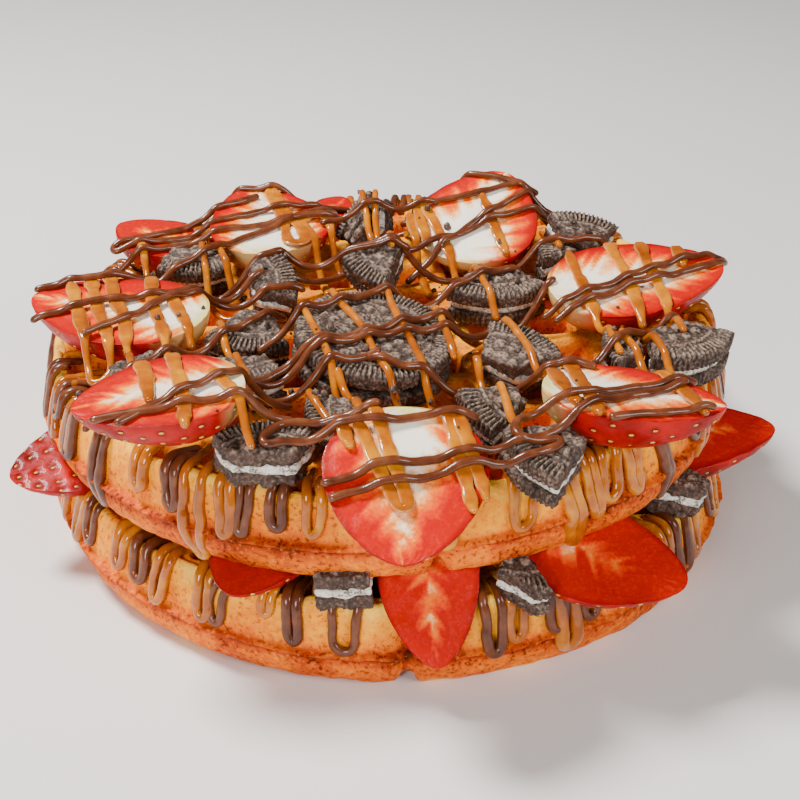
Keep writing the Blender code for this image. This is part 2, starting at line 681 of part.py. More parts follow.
def main():
    clear_scene()
    home = collection("waffle_stack")
    cutters = collection("cutters")
    crust = material("waffle_crust", (0.72, 0.38, 0.10), 0.6)
    fruit = material("strawberry_flesh", (0.78, 0.08, 0.04), 0.3)
    wafer = material("cookie_wafer", (0.035, 0.022, 0.018), 0.75)

    lower = waffle("waffle_bottom", LOWER_GRID_TURN, home, cutters, crust)
    upper = waffle("waffle_top", UPPER_GRID_TURN, home, cutters, crust)
    upper.data.transform(UPPER_MATRIX)

    # The envelopes that squash what lies between the waffles
    lower_form = as_cutter(turned("lower_form", waffle_profile(GAP), RIM_STEPS, cutters))
    upper_form = as_cutter(turned("upper_form", waffle_profile(GAP), RIM_STEPS, cutters))
    upper_form.data.transform(UPPER_MATRIX)
    between = []
    for index, (name, x, y, heading, pitch, roll, length, width, depth, height) in enumerate(MID_FRUIT):
        item = strawberry(name, length, width, depth, home, fruit, SEED + index)
        pose(item, x, y, height, heading, pitch, roll)
        between.append(item)
    for name, x, y, heading, lean, lean_to, breaks, height in MID_COOKIES:
        item = cookie(name, breaks, home, wafer)
        pose_cookie(item, x, y, height, heading, lean, lean_to)
        between.append(item)
    for item in between:
        cut(item, lower_form)
        cut(item, upper_form)
        flat_faces_merged(keep_largest(item))

    above = [upper]
    for name, x, y, heading, lean, lean_to, breaks in TOP_COOKIES:
        item = cookie(name, breaks, home, wafer)
        pose_cookie(item, x, y, 0, heading, lean, lean_to)
        above.append(lower_onto(item, above))
    for index, (name, x, y, heading, pitch, roll, length, width, depth) in enumerate(TOP_FRUIT):
        item = strawberry(name, length, width, depth, home, fruit, SEED + 20 + index)
        pose(item, x, y, 0, heading, pitch, roll)
        above.append(lower_onto(item, above))

    sauce = Sauce([lower, *between, *above])
    sauce.hang(UPPER_CHOC_DRIPS, CHOC_R * MM, UPPER_MATRIX, upper.name)
    sauce.hang(UPPER_CARAMEL_DRIPS, CARAMEL_R * MM, UPPER_MATRIX, upper.name)
    sauce.hang(LOWER_CHOC_DRIPS, CHOC_R * MM, Matrix.Identity(4), lower.name)
    sauce.hang(LOWER_CARAMEL_DRIPS, CARAMEL_R * MM, Matrix.Identity(4), lower.name)
    centre = Vector((UPPER_AT[0] * MM, UPPER_AT[1] * MM, 0))
    for line in parallel_lines(CHOC_HEADING, *CHOC_APART, SEED):
        sauce.drape(line, CHOC_R * MM, centre)
    for line in parallel_lines(CARAMEL_HEADING, *CARAMEL_APART, SEED + 1):
        sauce.drape(line, CARAMEL_R * MM, centre)
    sauce.fuse()

    for item in (lower_form, upper_form):
        bpy.data.objects.remove(item, do_unlink=True)
    for item in home.objects:
        item.data.transform(Matrix.Translation((SHIFT[0] * MM, SHIFT[1] * MM, 0)))


main()
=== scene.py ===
# Two round waffles with strawberries, broken sandwich cookies, chocolate and caramel sauce
import math
import random
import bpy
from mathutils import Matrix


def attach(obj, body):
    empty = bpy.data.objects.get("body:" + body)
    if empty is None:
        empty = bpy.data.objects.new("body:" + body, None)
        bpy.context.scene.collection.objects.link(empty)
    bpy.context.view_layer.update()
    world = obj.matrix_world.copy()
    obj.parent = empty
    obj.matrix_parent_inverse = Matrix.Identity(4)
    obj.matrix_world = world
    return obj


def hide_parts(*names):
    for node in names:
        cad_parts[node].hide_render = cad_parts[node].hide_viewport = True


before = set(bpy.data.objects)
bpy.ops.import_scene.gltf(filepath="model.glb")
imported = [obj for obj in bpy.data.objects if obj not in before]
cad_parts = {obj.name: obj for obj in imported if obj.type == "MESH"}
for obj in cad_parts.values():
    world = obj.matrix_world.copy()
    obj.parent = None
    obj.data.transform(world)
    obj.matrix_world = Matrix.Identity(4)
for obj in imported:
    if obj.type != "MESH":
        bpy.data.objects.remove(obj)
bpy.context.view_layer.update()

from types import SimpleNamespace

import bpy
import numpy as np
from mathutils import Matrix, Vector
from mathutils.bvhtree import BVHTree

mm = 0.001
shift = np.array([-3.4, 5.75, 0.0])     # the stack's own middle, in the part's frame, in mm
print("frame loaded with", len(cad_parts), "nodes")


# Numbers into surfaces, all in millimetres

def stacked(*parts):
    # Arrays as the columns of one, x, y and z mostly; one that has fewer values is repeated
    return np.stack(np.broadcast_arrays(*parts), -1)


def smooth(x):
    # 0 below 0, 1 above 1, and 3x^2 - 2x^3 between them
    x = np.clip(x, 0.0, 1.0)
    return x * x * (3.0 - 2.0 * x)


noiseTable = np.random.default_rng(5).uniform(-1.0, 1.0, (32, 32, 32))


def lumps(points, size, seed=0):
    # Smooth noise from -1 to 1: seeded values on a lattice of that size, blended along x, y and z
    p = np.asarray(points, float) / size + seed * 7.31 + 0.37
    cell = np.floor(p).astype(int)
    f = smooth(p - cell)
    out = 0.0
    for dx in (0, 1):
        for dy in (0, 1):
            for dz in (0, 1):
                weight = (np.abs(1 - dx - f[..., 0]) * np.abs(1 - dy - f[..., 1])
                          * np.abs(1 - dz - f[..., 2]))
                corner = noiseTable[(cell[..., 0] + dx) % 32, (cell[..., 1] + dy) % 32,
                                    (cell[..., 2] + dz) % 32]
                out = out + weight * corner
    return out


def unit(vectors):
    # Each row made 1 long
    return vectors / np.maximum(np.linalg.norm(vectors, axis=1), 1e-6)[:, None]


def gridFaces(rows, columns, wrapRows):
    # Corner numbers of the quads between neighbouring rows and columns of a grid, whose last
    # column joins the first, and with wrapRows its last row the first too
    r = np.arange(rows if wrapRows else rows - 1)[:, None]
    c = np.arange(columns)[None, :]
    below, beside = (r + 1) % rows, (c + 1) % columns
    return stacked(r * columns + c, r * columns + beside, below * columns + beside,
                   below * columns + c).reshape(-1, 4)


def volumeOf(points, quads):
    # Six times the volume that the faces enclose, negative where they point inwards
    a, b, c, d = (points[quads[:, i]] for i in range(4))
    return float(np.sum(np.cross(a, b) * c) + np.sum(np.cross(a, c) * d))


def skin(rings, marks=None, loop=False, kind=0):
    # Closed surface over rings of points (ring, point, xyz): its ends are closed by a fan to
    # their middle, or with loop the last ring joins the first. marks holds values per point.
    rows, columns = rings.shape[:2]
    points = rings.reshape(-1, 3)
    quads = gridFaces(rows, columns, loop)
    marks = {name: np.broadcast_to(value, (rows, columns)).reshape(-1).astype(float)
             for name, value in (marks or {}).items()}
    tris = np.zeros((0, 3), int)
    flip = volumeOf(points, quads) < 0
    if not loop:
        count = len(points)
        first, last = np.arange(columns), np.arange(columns) + (rows - 1) * columns
        points = np.vstack([points, rings[0].mean(0), rings[-1].mean(0)])
        tris = np.vstack([stacked(np.full(columns, count), np.roll(first, -1), first),
                          stacked(np.full(columns, count + 1), last, np.roll(last, -1))])
        marks = {name: np.append(value, [value[:columns].mean(), value[-columns:].mean()])
                 for name, value in marks.items()}
    if flip:
        quads, tris = quads[:, ::-1], tris[:, ::-1]
    return {"points": points, "quads": quads, "tris": tris, "marks": marks,
            "kinds": (np.full(len(quads), kind), np.full(len(tris), kind))}


def joined(skins):
    # Several surfaces as one; a mark that one of them lacks is 0 there
    names = sorted({name for one in skins for name in one["marks"]})
    starts = np.cumsum([0] + [len(one["points"]) for one in skins])
    return {"points": np.vstack([one["points"] for one in skins]),
            "quads": np.vstack([one["quads"] + s for one, s in zip(skins, starts)]),
            "tris": np.vstack([one["tris"] + s for one, s in zip(skins, starts)]),
            "marks": {n: np.concatenate([one["marks"].get(n, np.zeros(len(one["points"])))
                                         for one in skins]) for n in names},
            "kinds": tuple(np.concatenate([one["kinds"][i] for one in skins]) for i in (0, 1))}


def moved(one, matrix):
    # The surface carried by a 4 x 4 matrix in millimetres
    turn, place = matrix[:3, :3], matrix[:3, 3]
    one["points"] = one["points"] @ turn.T + place
    return one


def linked(name, data):
    # A new object in the scene that shows the data
    made = bpy.data.objects.new(name, data)
    bpy.context.scene.collection.objects.link(made)
    return made


def piece(name, one, finishes, nodes=()):
    # The surface as a Blender mesh that rides on the stack and replaces the solids in nodes
    mesh = bpy.data.meshes.new(name)
    sizes = np.concatenate([np.full(len(one["quads"]), 4), np.full(len(one["tris"]), 3)])
    corners = np.concatenate([one["quads"].reshape(-1), one["tris"].reshape(-1)]).astype(np.int32)
    mesh.vertices.add(len(one["points"]))
    mesh.vertices.foreach_set("co", (one["points"] * mm).astype(np.float32).reshape(-1))
    mesh.loops.add(len(corners))
    mesh.loops.foreach_set("vertex_index", corners)
    mesh.polygons.add(len(sizes))
    mesh.polygons.foreach_set("loop_start", (np.cumsum(sizes) - sizes).astype(np.int32))
    mesh.update(calc_edges=True)
    mesh.polygons.foreach_set("use_smooth", np.ones(len(sizes), bool))
    for finish in finishes:
        mesh.materials.append(finish)
    mesh.polygons.foreach_set("material_index", np.concatenate(one["kinds"]).astype(np.int32))
    for mark, values in one["marks"].items():
        layer = mesh.attributes.new(mark, "FLOAT", "POINT")
        layer.data.foreach_set("value", values.astype(np.float32))
    mesh.update()
    made = linked(name, mesh)
    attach(made, "root")
    if nodes:
        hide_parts(*nodes)


def turnAbout(axis, degrees):
    # A 4 x 4 matrix that turns about the axis X, Y or Z
    return np.array(Matrix.Rotation(math.radians(degrees), 4, axis))


def moveBy(x, y, z):
    # A 4 x 4 matrix that moves by x, y and z in millimetres
    return np.array(Matrix.Translation((x, y, z)))


# Finishes

def tint(code):
    # A colour code as linear red, green, blue and alpha
    parts = [int(code[i:i + 2], 16) / 255 for i in (1, 3, 5)]
    return (*[p / 12.92 if p < 0.04045 else ((p + 0.055) / 1.055) ** 2.4 for p in parts], 1.0)


class Value:
    # A number in a finish; + - * / on it and on plain numbers add Math nodes
    def __init__(self, finish, socket):
        self.finish = finish
        self.socket = socket

    def math(self, operation, first, second, clamp=False):
        return self.finish.node("ShaderNodeMath", {"operation": operation, "use_clamp": clamp},
                                {0: first, 1: second})

    def __add__(self, other):
        return self.math("ADD", self, other)

    def __sub__(self, other):
        return self.math("SUBTRACT", self, other)

    def __rsub__(self, other):
        return self.math("SUBTRACT", other, self)

    def __mul__(self, other):
        return self.math("MULTIPLY", self, other)

    def __truediv__(self, other):
        return self.math("DIVIDE", self, other)

    __radd__ = __add__
    __rmul__ = __mul__

    def held(self):
        # The number, held between 0 and 1
        return self.math("ADD", self, 0.0, clamp=True)

    def step(self, low, high):
        # 0 below low, 1 above high, and even between them
        return ((self - low) / (high - low)).held()


class Finish:
    # A material made by Principled BSDF, with what varies fed by nodes
    def __init__(self, name, **constants):
        self.material = bpy.data.materials.new(name)
        self.material.use_nodes = True
        self.tree = self.material.node_tree
        self.shader = self.tree.nodes["Principled BSDF"]
        for socket, value in constants.items():
            self.shader.inputs[socket.replace("_", " ")].default_value = value

    def node(self, kind, settings, sockets, output=0):
        # A node with its settings, what its sockets are fed or set to, and the output to read
        made = self.tree.nodes.new(kind)
        for name, value in settings.items():
            if name == "stops":
                ramp = made.color_ramp
                while len(ramp.elements) < len(value):
                    ramp.elements.new(1.0)
                for element, (place, colour) in zip(ramp.elements, value):
                    element.position = place
                    element.color = tint(colour)
            else:
                setattr(made, name, value)
        for name, value in sockets.items():
            if isinstance(value, Value):
                self.tree.links.new(value.socket, made.inputs[name])
            else:
                made.inputs[name].default_value = value
        return Value(self, made.outputs[output])

    def feed(self, socket, value):
        # Feeds a number or a colour to the shader
        self.tree.links.new(value.socket, self.shader.inputs[socket])

    def mark(self, name):
        # A value that the piece holds at each of its points
        return self.node("ShaderNodeAttribute", {"attribute_name": name}, {}, output="Fac")

    def grain(self, size, detail=3.0):
        # Noise of 0 to 1 whose lumps measure about size, in millimetres
        place = self.node("ShaderNodeTexCoord", {}, {}, output="Object")
        return self.node("ShaderNodeTexNoise", {}, {"Vector": place, "Scale": 1000.0 / size / 2,
                                                    "Detail": detail}, output="Fac")

    def ramp(self, factor, stops):
        # The colour between the stops at the factor's place
        return self.node("ShaderNodeValToRGB", {"stops": stops}, {"Fac": factor}, output="Color")

    def mix(self, factor, first, second):
        # first where the factor is 0 and second where it is 1, as colours or colour codes
        first = tint(first) if isinstance(first, str) else first
        second = tint(second) if isinstance(second, str) else second
        sockets = {0: factor, 6: first, 7: second}
        return self.node("ShaderNodeMix", {"data_type": "RGBA"}, sockets, output=2)

    def bump(self, height, distance, strength):
        # Relief as high as distance, in mm, where the height is 1
        self.feed("Normal", self.node("ShaderNodeBump", {}, {"Height": height, "Distance": distance * mm,
                                                             "Strength": strength}))


def crustFinish():
    # The crust's brown runs from 0, pale crumb, to 1, brown: real toasting, with painted shade added in the
    # pockets, in the notches where the grooves cut the rim and just under the seam fin; sauced is 1 where
    # caramel has soaked in
    f = Finish("waffleCrust", Specular_IOR_Level=0.12, Coat_Roughness=0.12)
    bake = f.mark("bake")
    patches = f.grain(9.0, 2.0)
    fine = f.grain(1.1, 4.0)
    pores = f.grain(0.55, 2.0)
    toastAndShadeLevel = (bake + (patches - 0.5) * 0.75 + (fine - 0.5) * 0.5).held()
    colour = f.ramp(toastAndShadeLevel, [(0.0, "#FFC848"), (0.25, "#FFA008"), (0.48, "#EC7000"), (0.72, "#B83E00"),
                            (1.0, "#5A1A00")])
    freckled = ((bake - 0.3) * 2.2).held()
    specks = pores.step(0.58, 0.64) * (patches.step(0.35, 0.6) * 0.6 + freckled * 0.6)
    colour = f.mix(specks * 0.8, colour, "#4E1A02")
    flour = (1.0 - pores.step(0.32, 0.38)) * freckled
    colour = f.mix(flour * 0.2, colour, "#FFC060")
    soaked = (f.mark("sauced") * (patches * 1.6)).held()
    colour = f.mix(soaked * 0.75, colour, "#A84400")
    f.feed("Base Color", colour)
    f.feed("Roughness", 0.62 - soaked * 0.42)
    f.feed("Coat Weight", soaked * 0.5)
    f.bump(fine * 0.6 + pores * 0.4, 0.6, 0.9)
    return f.material


def berryFinish():
    # cut is 1 on the cut face; core is 1 along its middle; along is 0 at the leaf end; pale is
    # how white the cut face is; rays are its streaks; pit is 1 where a seed sits
    f = Finish("strawberryFlesh", Coat_Roughness=0.05, Specular_IOR_Level=0.12, Subsurface_Weight=0.08,
               Subsurface_Radius=(0.003, 0.0008, 0.0004), Subsurface_Scale=0.6)
    cut, core, along, pale = (f.mark(name) for name in ("cut", "core", "along", "pale"))
    rays, pit = f.mark("rays"), f.mark("pit")
    cloud = f.grain(5.0)
    fine = f.grain(0.8)
    white = (core * 1.2 + pale * 0.9 - along + (cloud - 0.5) * 0.6 + (rays - 0.5) * 0.7 - 0.38).held()
    grains = f.grain(0.5, 2.0)
    white = (white + (grains - 0.5) * 0.35).held()
    flesh = f.ramp(white, [(0.0, "#BC0A00"), (0.2, "#E03400"), (0.42, "#F47410"), (0.6, "#FFC084"),
                           (0.85, "#FFF2E0")])
    rim = core.step(0.0, 0.16)
    flesh = f.mix(1.0 - rim, flesh, "#980000")
    rind = (1.0 - along.step(0.03, 0.13)) * cloud.step(0.3, 0.6)
    flesh = f.mix(rind * 0.85, flesh, "#D8CB6A")
    outside = f.ramp(cloud, [(0.25, "#6E0000"), (0.5, "#9E0000"), (0.75, "#C80600")])
    # Painted shade: the skin darkens in the seed pits
    outside = f.mix(pit.step(0.1, 0.8) * 0.75, outside, "#5C0000")
    leafEnd = 1.0 - along.step(0.02, 0.2)
    outside = f.mix(leafEnd * 0.8, outside, "#E0C27A")
    f.feed("Base Color", f.mix(cut, outside, flesh))
    f.feed("Roughness", 0.36 - cut * 0.04 + fine * 0.12)
    f.feed("Coat Weight", 0.08 + cut * 0.12)
    f.bump(fine * 0.5 + grains * 0.4 + rays * 0.8, 0.26, 0.8)
    return f.material


def plainFinish(name, stops, grainSize, roughness, bumpDepth, **constants):
    # One grain that varies the colour, and a finer one that varies the gloss and the relief
    f = Finish(name, **constants)
    coarse, fine = f.grain(grainSize), f.grain(grainSize / 4)
    f.feed("Base Color", f.ramp(coarse * 0.6 + fine * 0.4, stops))
    f.feed("Roughness", roughness[0] + fine * (roughness[1] - roughness[0]))
    f.bump(fine, bumpDepth, 0.7)
    return f.material


def waferFinish():
    # broken is 1 on broken faces, raised is 1 on the tops of the embossing, which get a painted highlight
    f = Finish("cookieWafer", Specular_IOR_Level=0.35)
    broken, raised = f.mark("broken"), f.mark("raised")
    coarse, fine = f.grain(2.4), f.grain(0.45)
    colour = f.ramp(coarse * 0.3 + fine * 0.7, [(0.32, "#150E0A"), (0.5, "#43332A"), (0.68, "#8E7666")])
    # Painted highlight: lighter grey-brown on the tops of the embossing
    colour = f.mix((raised * fine.step(0.35, 0.6)) * 0.6, colour, "#AA927E")
    colour = f.mix(broken * coarse.step(0.4, 0.6) * 0.6, colour, "#4A3028")
    f.feed("Base Color", colour)
    f.feed("Roughness", 0.5 + fine * 0.35)
    f.bump(fine * 0.8 + coarse * 0.2, 0.5, 1.0)
    return f.material


def caramelFinish():
    # edge is 1 at the caramel's sides where it has spread over fruit, and a painted reflection makes it pale
    # there
    f = Finish("caramelSauce", Coat_Weight=0.8, Coat_Roughness=0.04, Specular_IOR_Level=0.15,
               Subsurface_Weight=0.05, Subsurface_Radius=(0.003, 0.0012, 0.0002), Subsurface_Scale=0.6)
    coarse, fine = f.grain(7.0), f.grain(1.6)
    colour = f.ramp(coarse * 0.7 + fine * 0.3, [(0.3, "#7C3400"), (0.5, "#AE5A00"), (0.7, "#DA8C00")])
    # Painted reflection: pale cream at the spread sides over fruit
    f.feed("Base Color", f.mix(f.mark("edge").step(0.6, 1.0) * 0.3, colour, "#FFD490"))
    f.feed("Roughness", 0.14 + fine * 0.12)
    f.bump(coarse, 0.1, 0.5)
    return f.material


crust = crustFinish()
berry = berryFinish()
wafer = waferFinish()
seedGold = plainFinish("strawberrySeed", [(0.3, "#B9791F"), (0.7, "#E4BE62")], 1.0, (0.3, 0.5), 0.05)
cream = plainFinish("cookieCream", [(0.4, "#6A6158"), (0.46, "#CBC4B6"), (0.7, "#FBF8EE")], 1.3,
                    (0.5, 0.75), 0.6, Subsurface_Weight=0.1, Subsurface_Scale=0.4,
                    Subsurface_Radius=(0.002, 0.002, 0.0015))
chocolate = plainFinish("chocolateSauce", [(0.3, "#461E0C"), (0.5, "#623018"), (0.7, "#7E4626")], 6.0,
                        (0.24, 0.38), 0.04, Coat_Weight=0.45, Coat_Roughness=0.06, Specular_IOR_Level=0.2)
caramel = caramelFinish()
print("finishes made")


# Waffles

# ws holds the sizes of the waffles, bs of the strawberries, cs of the cookies and ss of the
# sauces, in millimetres and degrees
ws = SimpleNamespace(
    height=25.0, seam=10.5, topRadius=96.0, seamRadius=99.2, bottomRadius=95.0,
    pitch=18.2, first=12.2, rows=5, pocketTop=13.2, pocketFloor=10.0, depth=8.0,
    corner=1.6, grooveTop=5.6, grooveFloor=2.4, grooveDepth=6.0,
    pocketEase=0.35, pocketWallEase=0.8, grooveEase=0.3, grooveWallEase=0.6,
    faceEdge=94.6, gridEdge=95.6, underRim=91.8, besideRim=91.0, sections=470,
    upperAt=(-2.0, 1.5, 32.5), upperTiltX=2.3, upperTiltY=0.3, lowerTurn=3.5, upperTurn=9.0,
)
upperMatrix = (moveBy(ws.upperAt[0] + shift[0], ws.upperAt[1] + shift[1], ws.upperAt[2])
               @ turnAbout("Y", -ws.upperTiltX) @ turnAbout("X", ws.upperTiltY))
lowerMatrix = moveBy(*shift)


def faceDepth(x, y):
    # How far the face lies below its plane: a rounded square for each pocket, whose wall eases
    # from 0 to the depth across its slope, and the two crossing grooves
    near = []
    for a in (np.abs(x), np.abs(y)):
        index = np.clip(np.round((a - ws.first) / ws.pitch), 0, ws.rows - 1)
        near.append(np.abs(a - ws.first - index * ws.pitch))
    half, corner = ws.pocketTop / 2 + ws.pocketEase, ws.corner
    du, dv = near[0] - half + corner, near[1] - half + corner
    off = np.hypot(np.maximum(du, 0), np.maximum(dv, 0)) + np.minimum(np.maximum(du, dv), 0) - corner
    slope = (ws.pocketTop - ws.pocketFloor) / 2 + ws.pocketWallEase
    pocket = ws.depth * smooth(-off / slope) ** 0.85
    groove = np.minimum(np.abs(x), np.abs(y))
    wall = (ws.grooveTop - ws.grooveFloor) / 2 + ws.grooveWallEase
    cut = ws.grooveDepth * smooth((ws.grooveTop / 2 + ws.grooveEase - groove) / wall)
    return np.maximum(pocket, cut)


def faceLines():
    # Grid lines across a face, closer together on the pockets' walls
    steps = [0.0, 2.0, 3.9, 4.7, 5.2, 5.7, 6.2, 6.7, 7.3, 8.2]
    lines = [0.0, 1.2, 1.7, 2.2, 2.7, 3.3, 4.2]
    for row in range(ws.rows):
        centre = ws.first + row * ws.pitch
        lines += [centre + s for s in steps] + [centre - s for s in steps[1:-1]]
    lines = sorted({round(line, 2) for line in lines if line < ws.gridEdge})
    return np.array([-line for line in reversed(lines[1:])] + lines)


def slab(turn, seed):
    # The waffle inside its rim: a grid over each face, cut off in the rim and closed round its
    # edge. The crust is rough, darker in the pockets by painted shade, and caramel has soaked into its
    # patches.
    lines = faceLines()
    count = len(lines)
    x, y = np.meshgrid(lines, lines, indexing="ij")
    radius = np.hypot(x, y)
    depth = faceDepth(x, y)
    angle = math.radians(turn)
    wx, wy = x * math.cos(angle) - y * math.sin(angle), x * math.sin(angle) + y * math.cos(angle)
    flat = stacked(wx, wy, 0.0)
    under = 1.6 * smooth((radius - ws.underRim) / 2.2)
    rough = 0.32 * lumps(flat, 8.0, seed) + 0.14 * lumps(flat, 2.3, seed + 1) + 0.07 * lumps(flat, 1.1, seed)
    share = depth / ws.depth
    top = ws.height - 0.3 - depth - under + rough * (1 + 0.5 * share) - 0.35 * smooth(share * 3)
    low = depth + under - 0.4 * rough + 0.25
    inside = radius < ws.faceEdge
    keep = inside[:-1, :-1] & inside[1:, :-1] & inside[:-1, 1:] & inside[1:, 1:]
    number = np.arange(count * count).reshape(count, count)
    a, b, c, d = number[:-1, :-1], number[1:, :-1], number[1:, 1:], number[:-1, 1:]
    upper = stacked(a, b, c, d)[keep]
    lower = upper[:, ::-1] + count * count
    edges = np.concatenate([upper[:, [0, 1]], upper[:, [1, 2]], upper[:, [2, 3]], upper[:, [3, 0]]])
    code = edges[:, 0] * count * count + edges[:, 1]
    back = edges[:, 1] * count * count + edges[:, 0]
    border = edges[~np.isin(code, back)]
    wall = stacked(border[:, 1], border[:, 0], border[:, 0] + count * count,
                   border[:, 1] + count * count)
    points = np.concatenate([stacked(wx, wy, face).reshape(-1, 3) for face in (top, low)])
    # Painted shade: the crust darkens with the pocket's depth; the lumps are real toasting in patches
    toastAndPocketShade = 0.30 + 0.34 * share + 0.10 * lumps(flat, 14.0, seed + 3)
    bake = np.concatenate([toastAndPocketShade.reshape(-1), toastAndPocketShade.reshape(-1) + 0.12])
    wet = smooth(0.35 + 1.1 * lumps(flat, 16.0, seed + 5)) * (0.35 + 0.65 * share)
    quads = np.vstack([upper, lower, wall])
    used = np.unique(quads)
    renumber = np.zeros(len(points), int)
    renumber[used] = np.arange(len(used))
    wet = np.concatenate([wet.reshape(-1), wet.reshape(-1) * 0])
    return {"points": points[used], "quads": renumber[quads], "tris": np.zeros((0, 3), int),
            "marks": {"bake": bake[used], "sauced": wet[used]},
            "kinds": (np.zeros(len(quads), int), np.zeros(0, int))}


rimProfile = [      # radius and height round the rim's section, with the brown of each corner: paler on top, browner down the wall, and darkest just under the seam fin, where it is a painted shadow line
    (92.3, 16.5, 0.62), (92.4, 20.0, 0.5), (92.6, 23.2, 0.36), (93.1, 24.5, 0.24), (94.0, 25.0, 0.12),
    (95.0, 24.9, 0.08), (95.9, 24.2, 0.12), (96.5, 22.8, 0.2), (97.0, 20.6, 0.26), (97.6, 18.0, 0.3),
    (98.2, 15.4, 0.34), (98.4, 13.4, 0.4), (98.5, 12.3, 0.5), (99.0, 11.7, 0.62), (100.7, 11.3, 0.66),
    (100.8, 10.5, 0.8), (99.2, 9.9, 0.95), (99.1, 9.0, 0.7), (99.2, 6.8, 0.55), (98.6, 4.4, 0.54),
    (97.4, 2.3, 0.56), (96.0, 0.8, 0.5), (94.8, 0.1, 0.6), (93.6, 0.2, 0.7), (92.8, 1.2, 0.62),
    (92.4, 4.0, 0.6), (92.3, 8.2, 0.62)]


def rim(turn, seed):
    # The rim is its profile carried round the waffle. Its top dips beside each pocket, each
    # groove cuts it down and pinches it, and the fin at the seam is ragged.
    profile = np.array(rimProfile)
    fine = np.linspace(0, len(profile), 2 * len(profile) + 6, endpoint=False)
    closed = np.vstack([profile, profile[:1]])
    r, z, profileToastAndShade = (np.interp(fine, np.arange(len(closed)), closed[:, i]) for i in range(3))
    r, z = ((np.roll(v, 1) + 2 * v + np.roll(v, -1)) / 4 for v in (r, z))
    # The sections lie closer together where the grooves cross the rim, a quarter turn apart
    quarter, closer = math.pi / 2, 0.07
    angles = np.linspace(0, math.tau, ws.sections, endpoint=False)
    angles = angles[np.abs((angles + quarter / 2) % quarter - quarter / 2) > closer + 0.003]
    near = np.linspace(-closer, closer, 21)
    angles = np.sort(np.concatenate([angles] + [near + k * quarter for k in range(4)]))
    a, r, z, profileToastAndShade = (np.broadcast_to(v, (len(fine), len(angles))) for v in
                      (angles[None, :], r[:, None], z[:, None], profileToastAndShade[:, None]))
    across = np.abs(r * np.sin((a + quarter / 2) % quarter - quarter / 2))
    beside = faceDepth(ws.besideRim * np.cos(a), ws.besideRim * np.sin(a))
    level = np.clip((z - ws.seam) / (ws.height - ws.seam), -0.75, 1)
    spot = stacked(r * np.cos(a), r * np.sin(a), z)
    dip = (beside / ws.depth) * (1.1 + 0.8 * lumps(spot * [1, 1, 0], 22.0, seed))
    cut = ws.grooveDepth * smooth((ws.grooveTop / 2 + 0.6 - across) / 2.4)
    z = np.where(level > 0, np.minimum(z - dip * level ** 2, ws.height - cut), np.maximum(z, cut * 0.8))
    r = r - 2.6 * np.exp(-(across / 2.6) ** 2) * smooth((r - 93.5) / 4)
    fin = np.exp(-((spot[..., 2] - ws.seam) / 0.7) ** 2) * smooth((r - 98.8) / 1.2)
    bulge = 0.55 * lumps(spot, 13.0, seed + 7) + 0.3 * lumps(spot, 5.0, seed + 2)
    bulge = bulge + 0.14 * lumps(spot, 1.8, seed)
    outer = smooth((r - 93.4) / 2.0)
    below = smooth((ws.seam - spot[..., 2]) / 2.0)
    r = r + bulge * outer + fin * (0.8 * lumps(spot, 4.5, seed + 4) - 0.25)
    r = r + outer * below * 0.35 * lumps(spot, 2.6, seed + 12)
    z = z + 0.5 * outer * (0.45 * lumps(spot, 7.0, seed + 9) + 0.2 * lumps(spot, 2.0, seed + 6))
    z = np.maximum(z, 0.0)
    angle = math.radians(turn)
    points = stacked(r * np.cos(a + angle), r * np.sin(a + angle), z)
    # Painted shade: darker in the notches where the grooves cut the rim; the lumps are real toasting in
    # patches
    bake = profileToastAndShade + 0.14 * lumps(spot, 18.0, seed + 3) + 0.25 * smooth(1 - across / 2.2) * outer
    torn = smooth((2.6 - spot[..., 2]) / 1.2) * smooth(lumps(spot, 11.0, seed + 15) * 3 - 0.4) * outer
    bake = bake - 0.3 * torn
    return skin(points, {"bake": bake, "sauced": 0.0}, loop=True)


def waffle(turn, seed, matrix):
    # A whole waffle, turned about its own axis and put in its place
    return moved(joined([slab(turn, seed), rim(turn, seed)]), matrix)


lowerWaffle = waffle(ws.lowerTurn, 1, lowerMatrix)
upperWaffle = waffle(ws.upperTurn, 4, upperMatrix)
piece("waffleBottom", lowerWaffle, [crust], ["waffle_bottom"])
piece("waffleTop", upperWaffle, [crust], ["waffle_top"])
print("waffles made:", len(upperWaffle["quads"]) * 2, "triangles in the upper one")


# Strawberries

bs = SimpleNamespace(around=96, rings=84, power=0.76, fullness=0.56, seedRows=9,
                     pitRadius=1.2, pitDepth=0.4, seedSpacing=4.4, seed=(1.5, 0.85, 0.5))
topBerries = [   # x, y, heading of the tip, pitch, roll, length, width, depth, how pale the cut face is
    (-43.0, 45.5, 101, 5, 0, 46.0, 37.0, 13.5, 0.9),
    (25.0, 44.5, 55, 23, 8, 41.0, 38.0, 12.5, 1.0),
    (70.0, -5.5, 15, 4, 12, 52.5, 34.5, 14.5, 0.75),
    (60.5, -72.5, -10, -2, -2, 45.5, 30.5, 13.5, 0.85),
    (4.0, -101.5, -90, -27, 0, 43.0, 41.0, 9.5, 0.6),
    (-55.5, -82.0, 194, -5, -3, 42.0, 31.5, 13.5, 0.6),
    (-77.0, -18.0, 165, -1, -6, 52.5, 34.5, 14.5, 0.65),
    (-74.5, 41.5, 150, 3, 0, 31.5, 26.5, 10.5, 0.2),
    (-20.5, 70.5, 60, 4, 10, 14.5, 12.5, 8.5, 0.1),
]
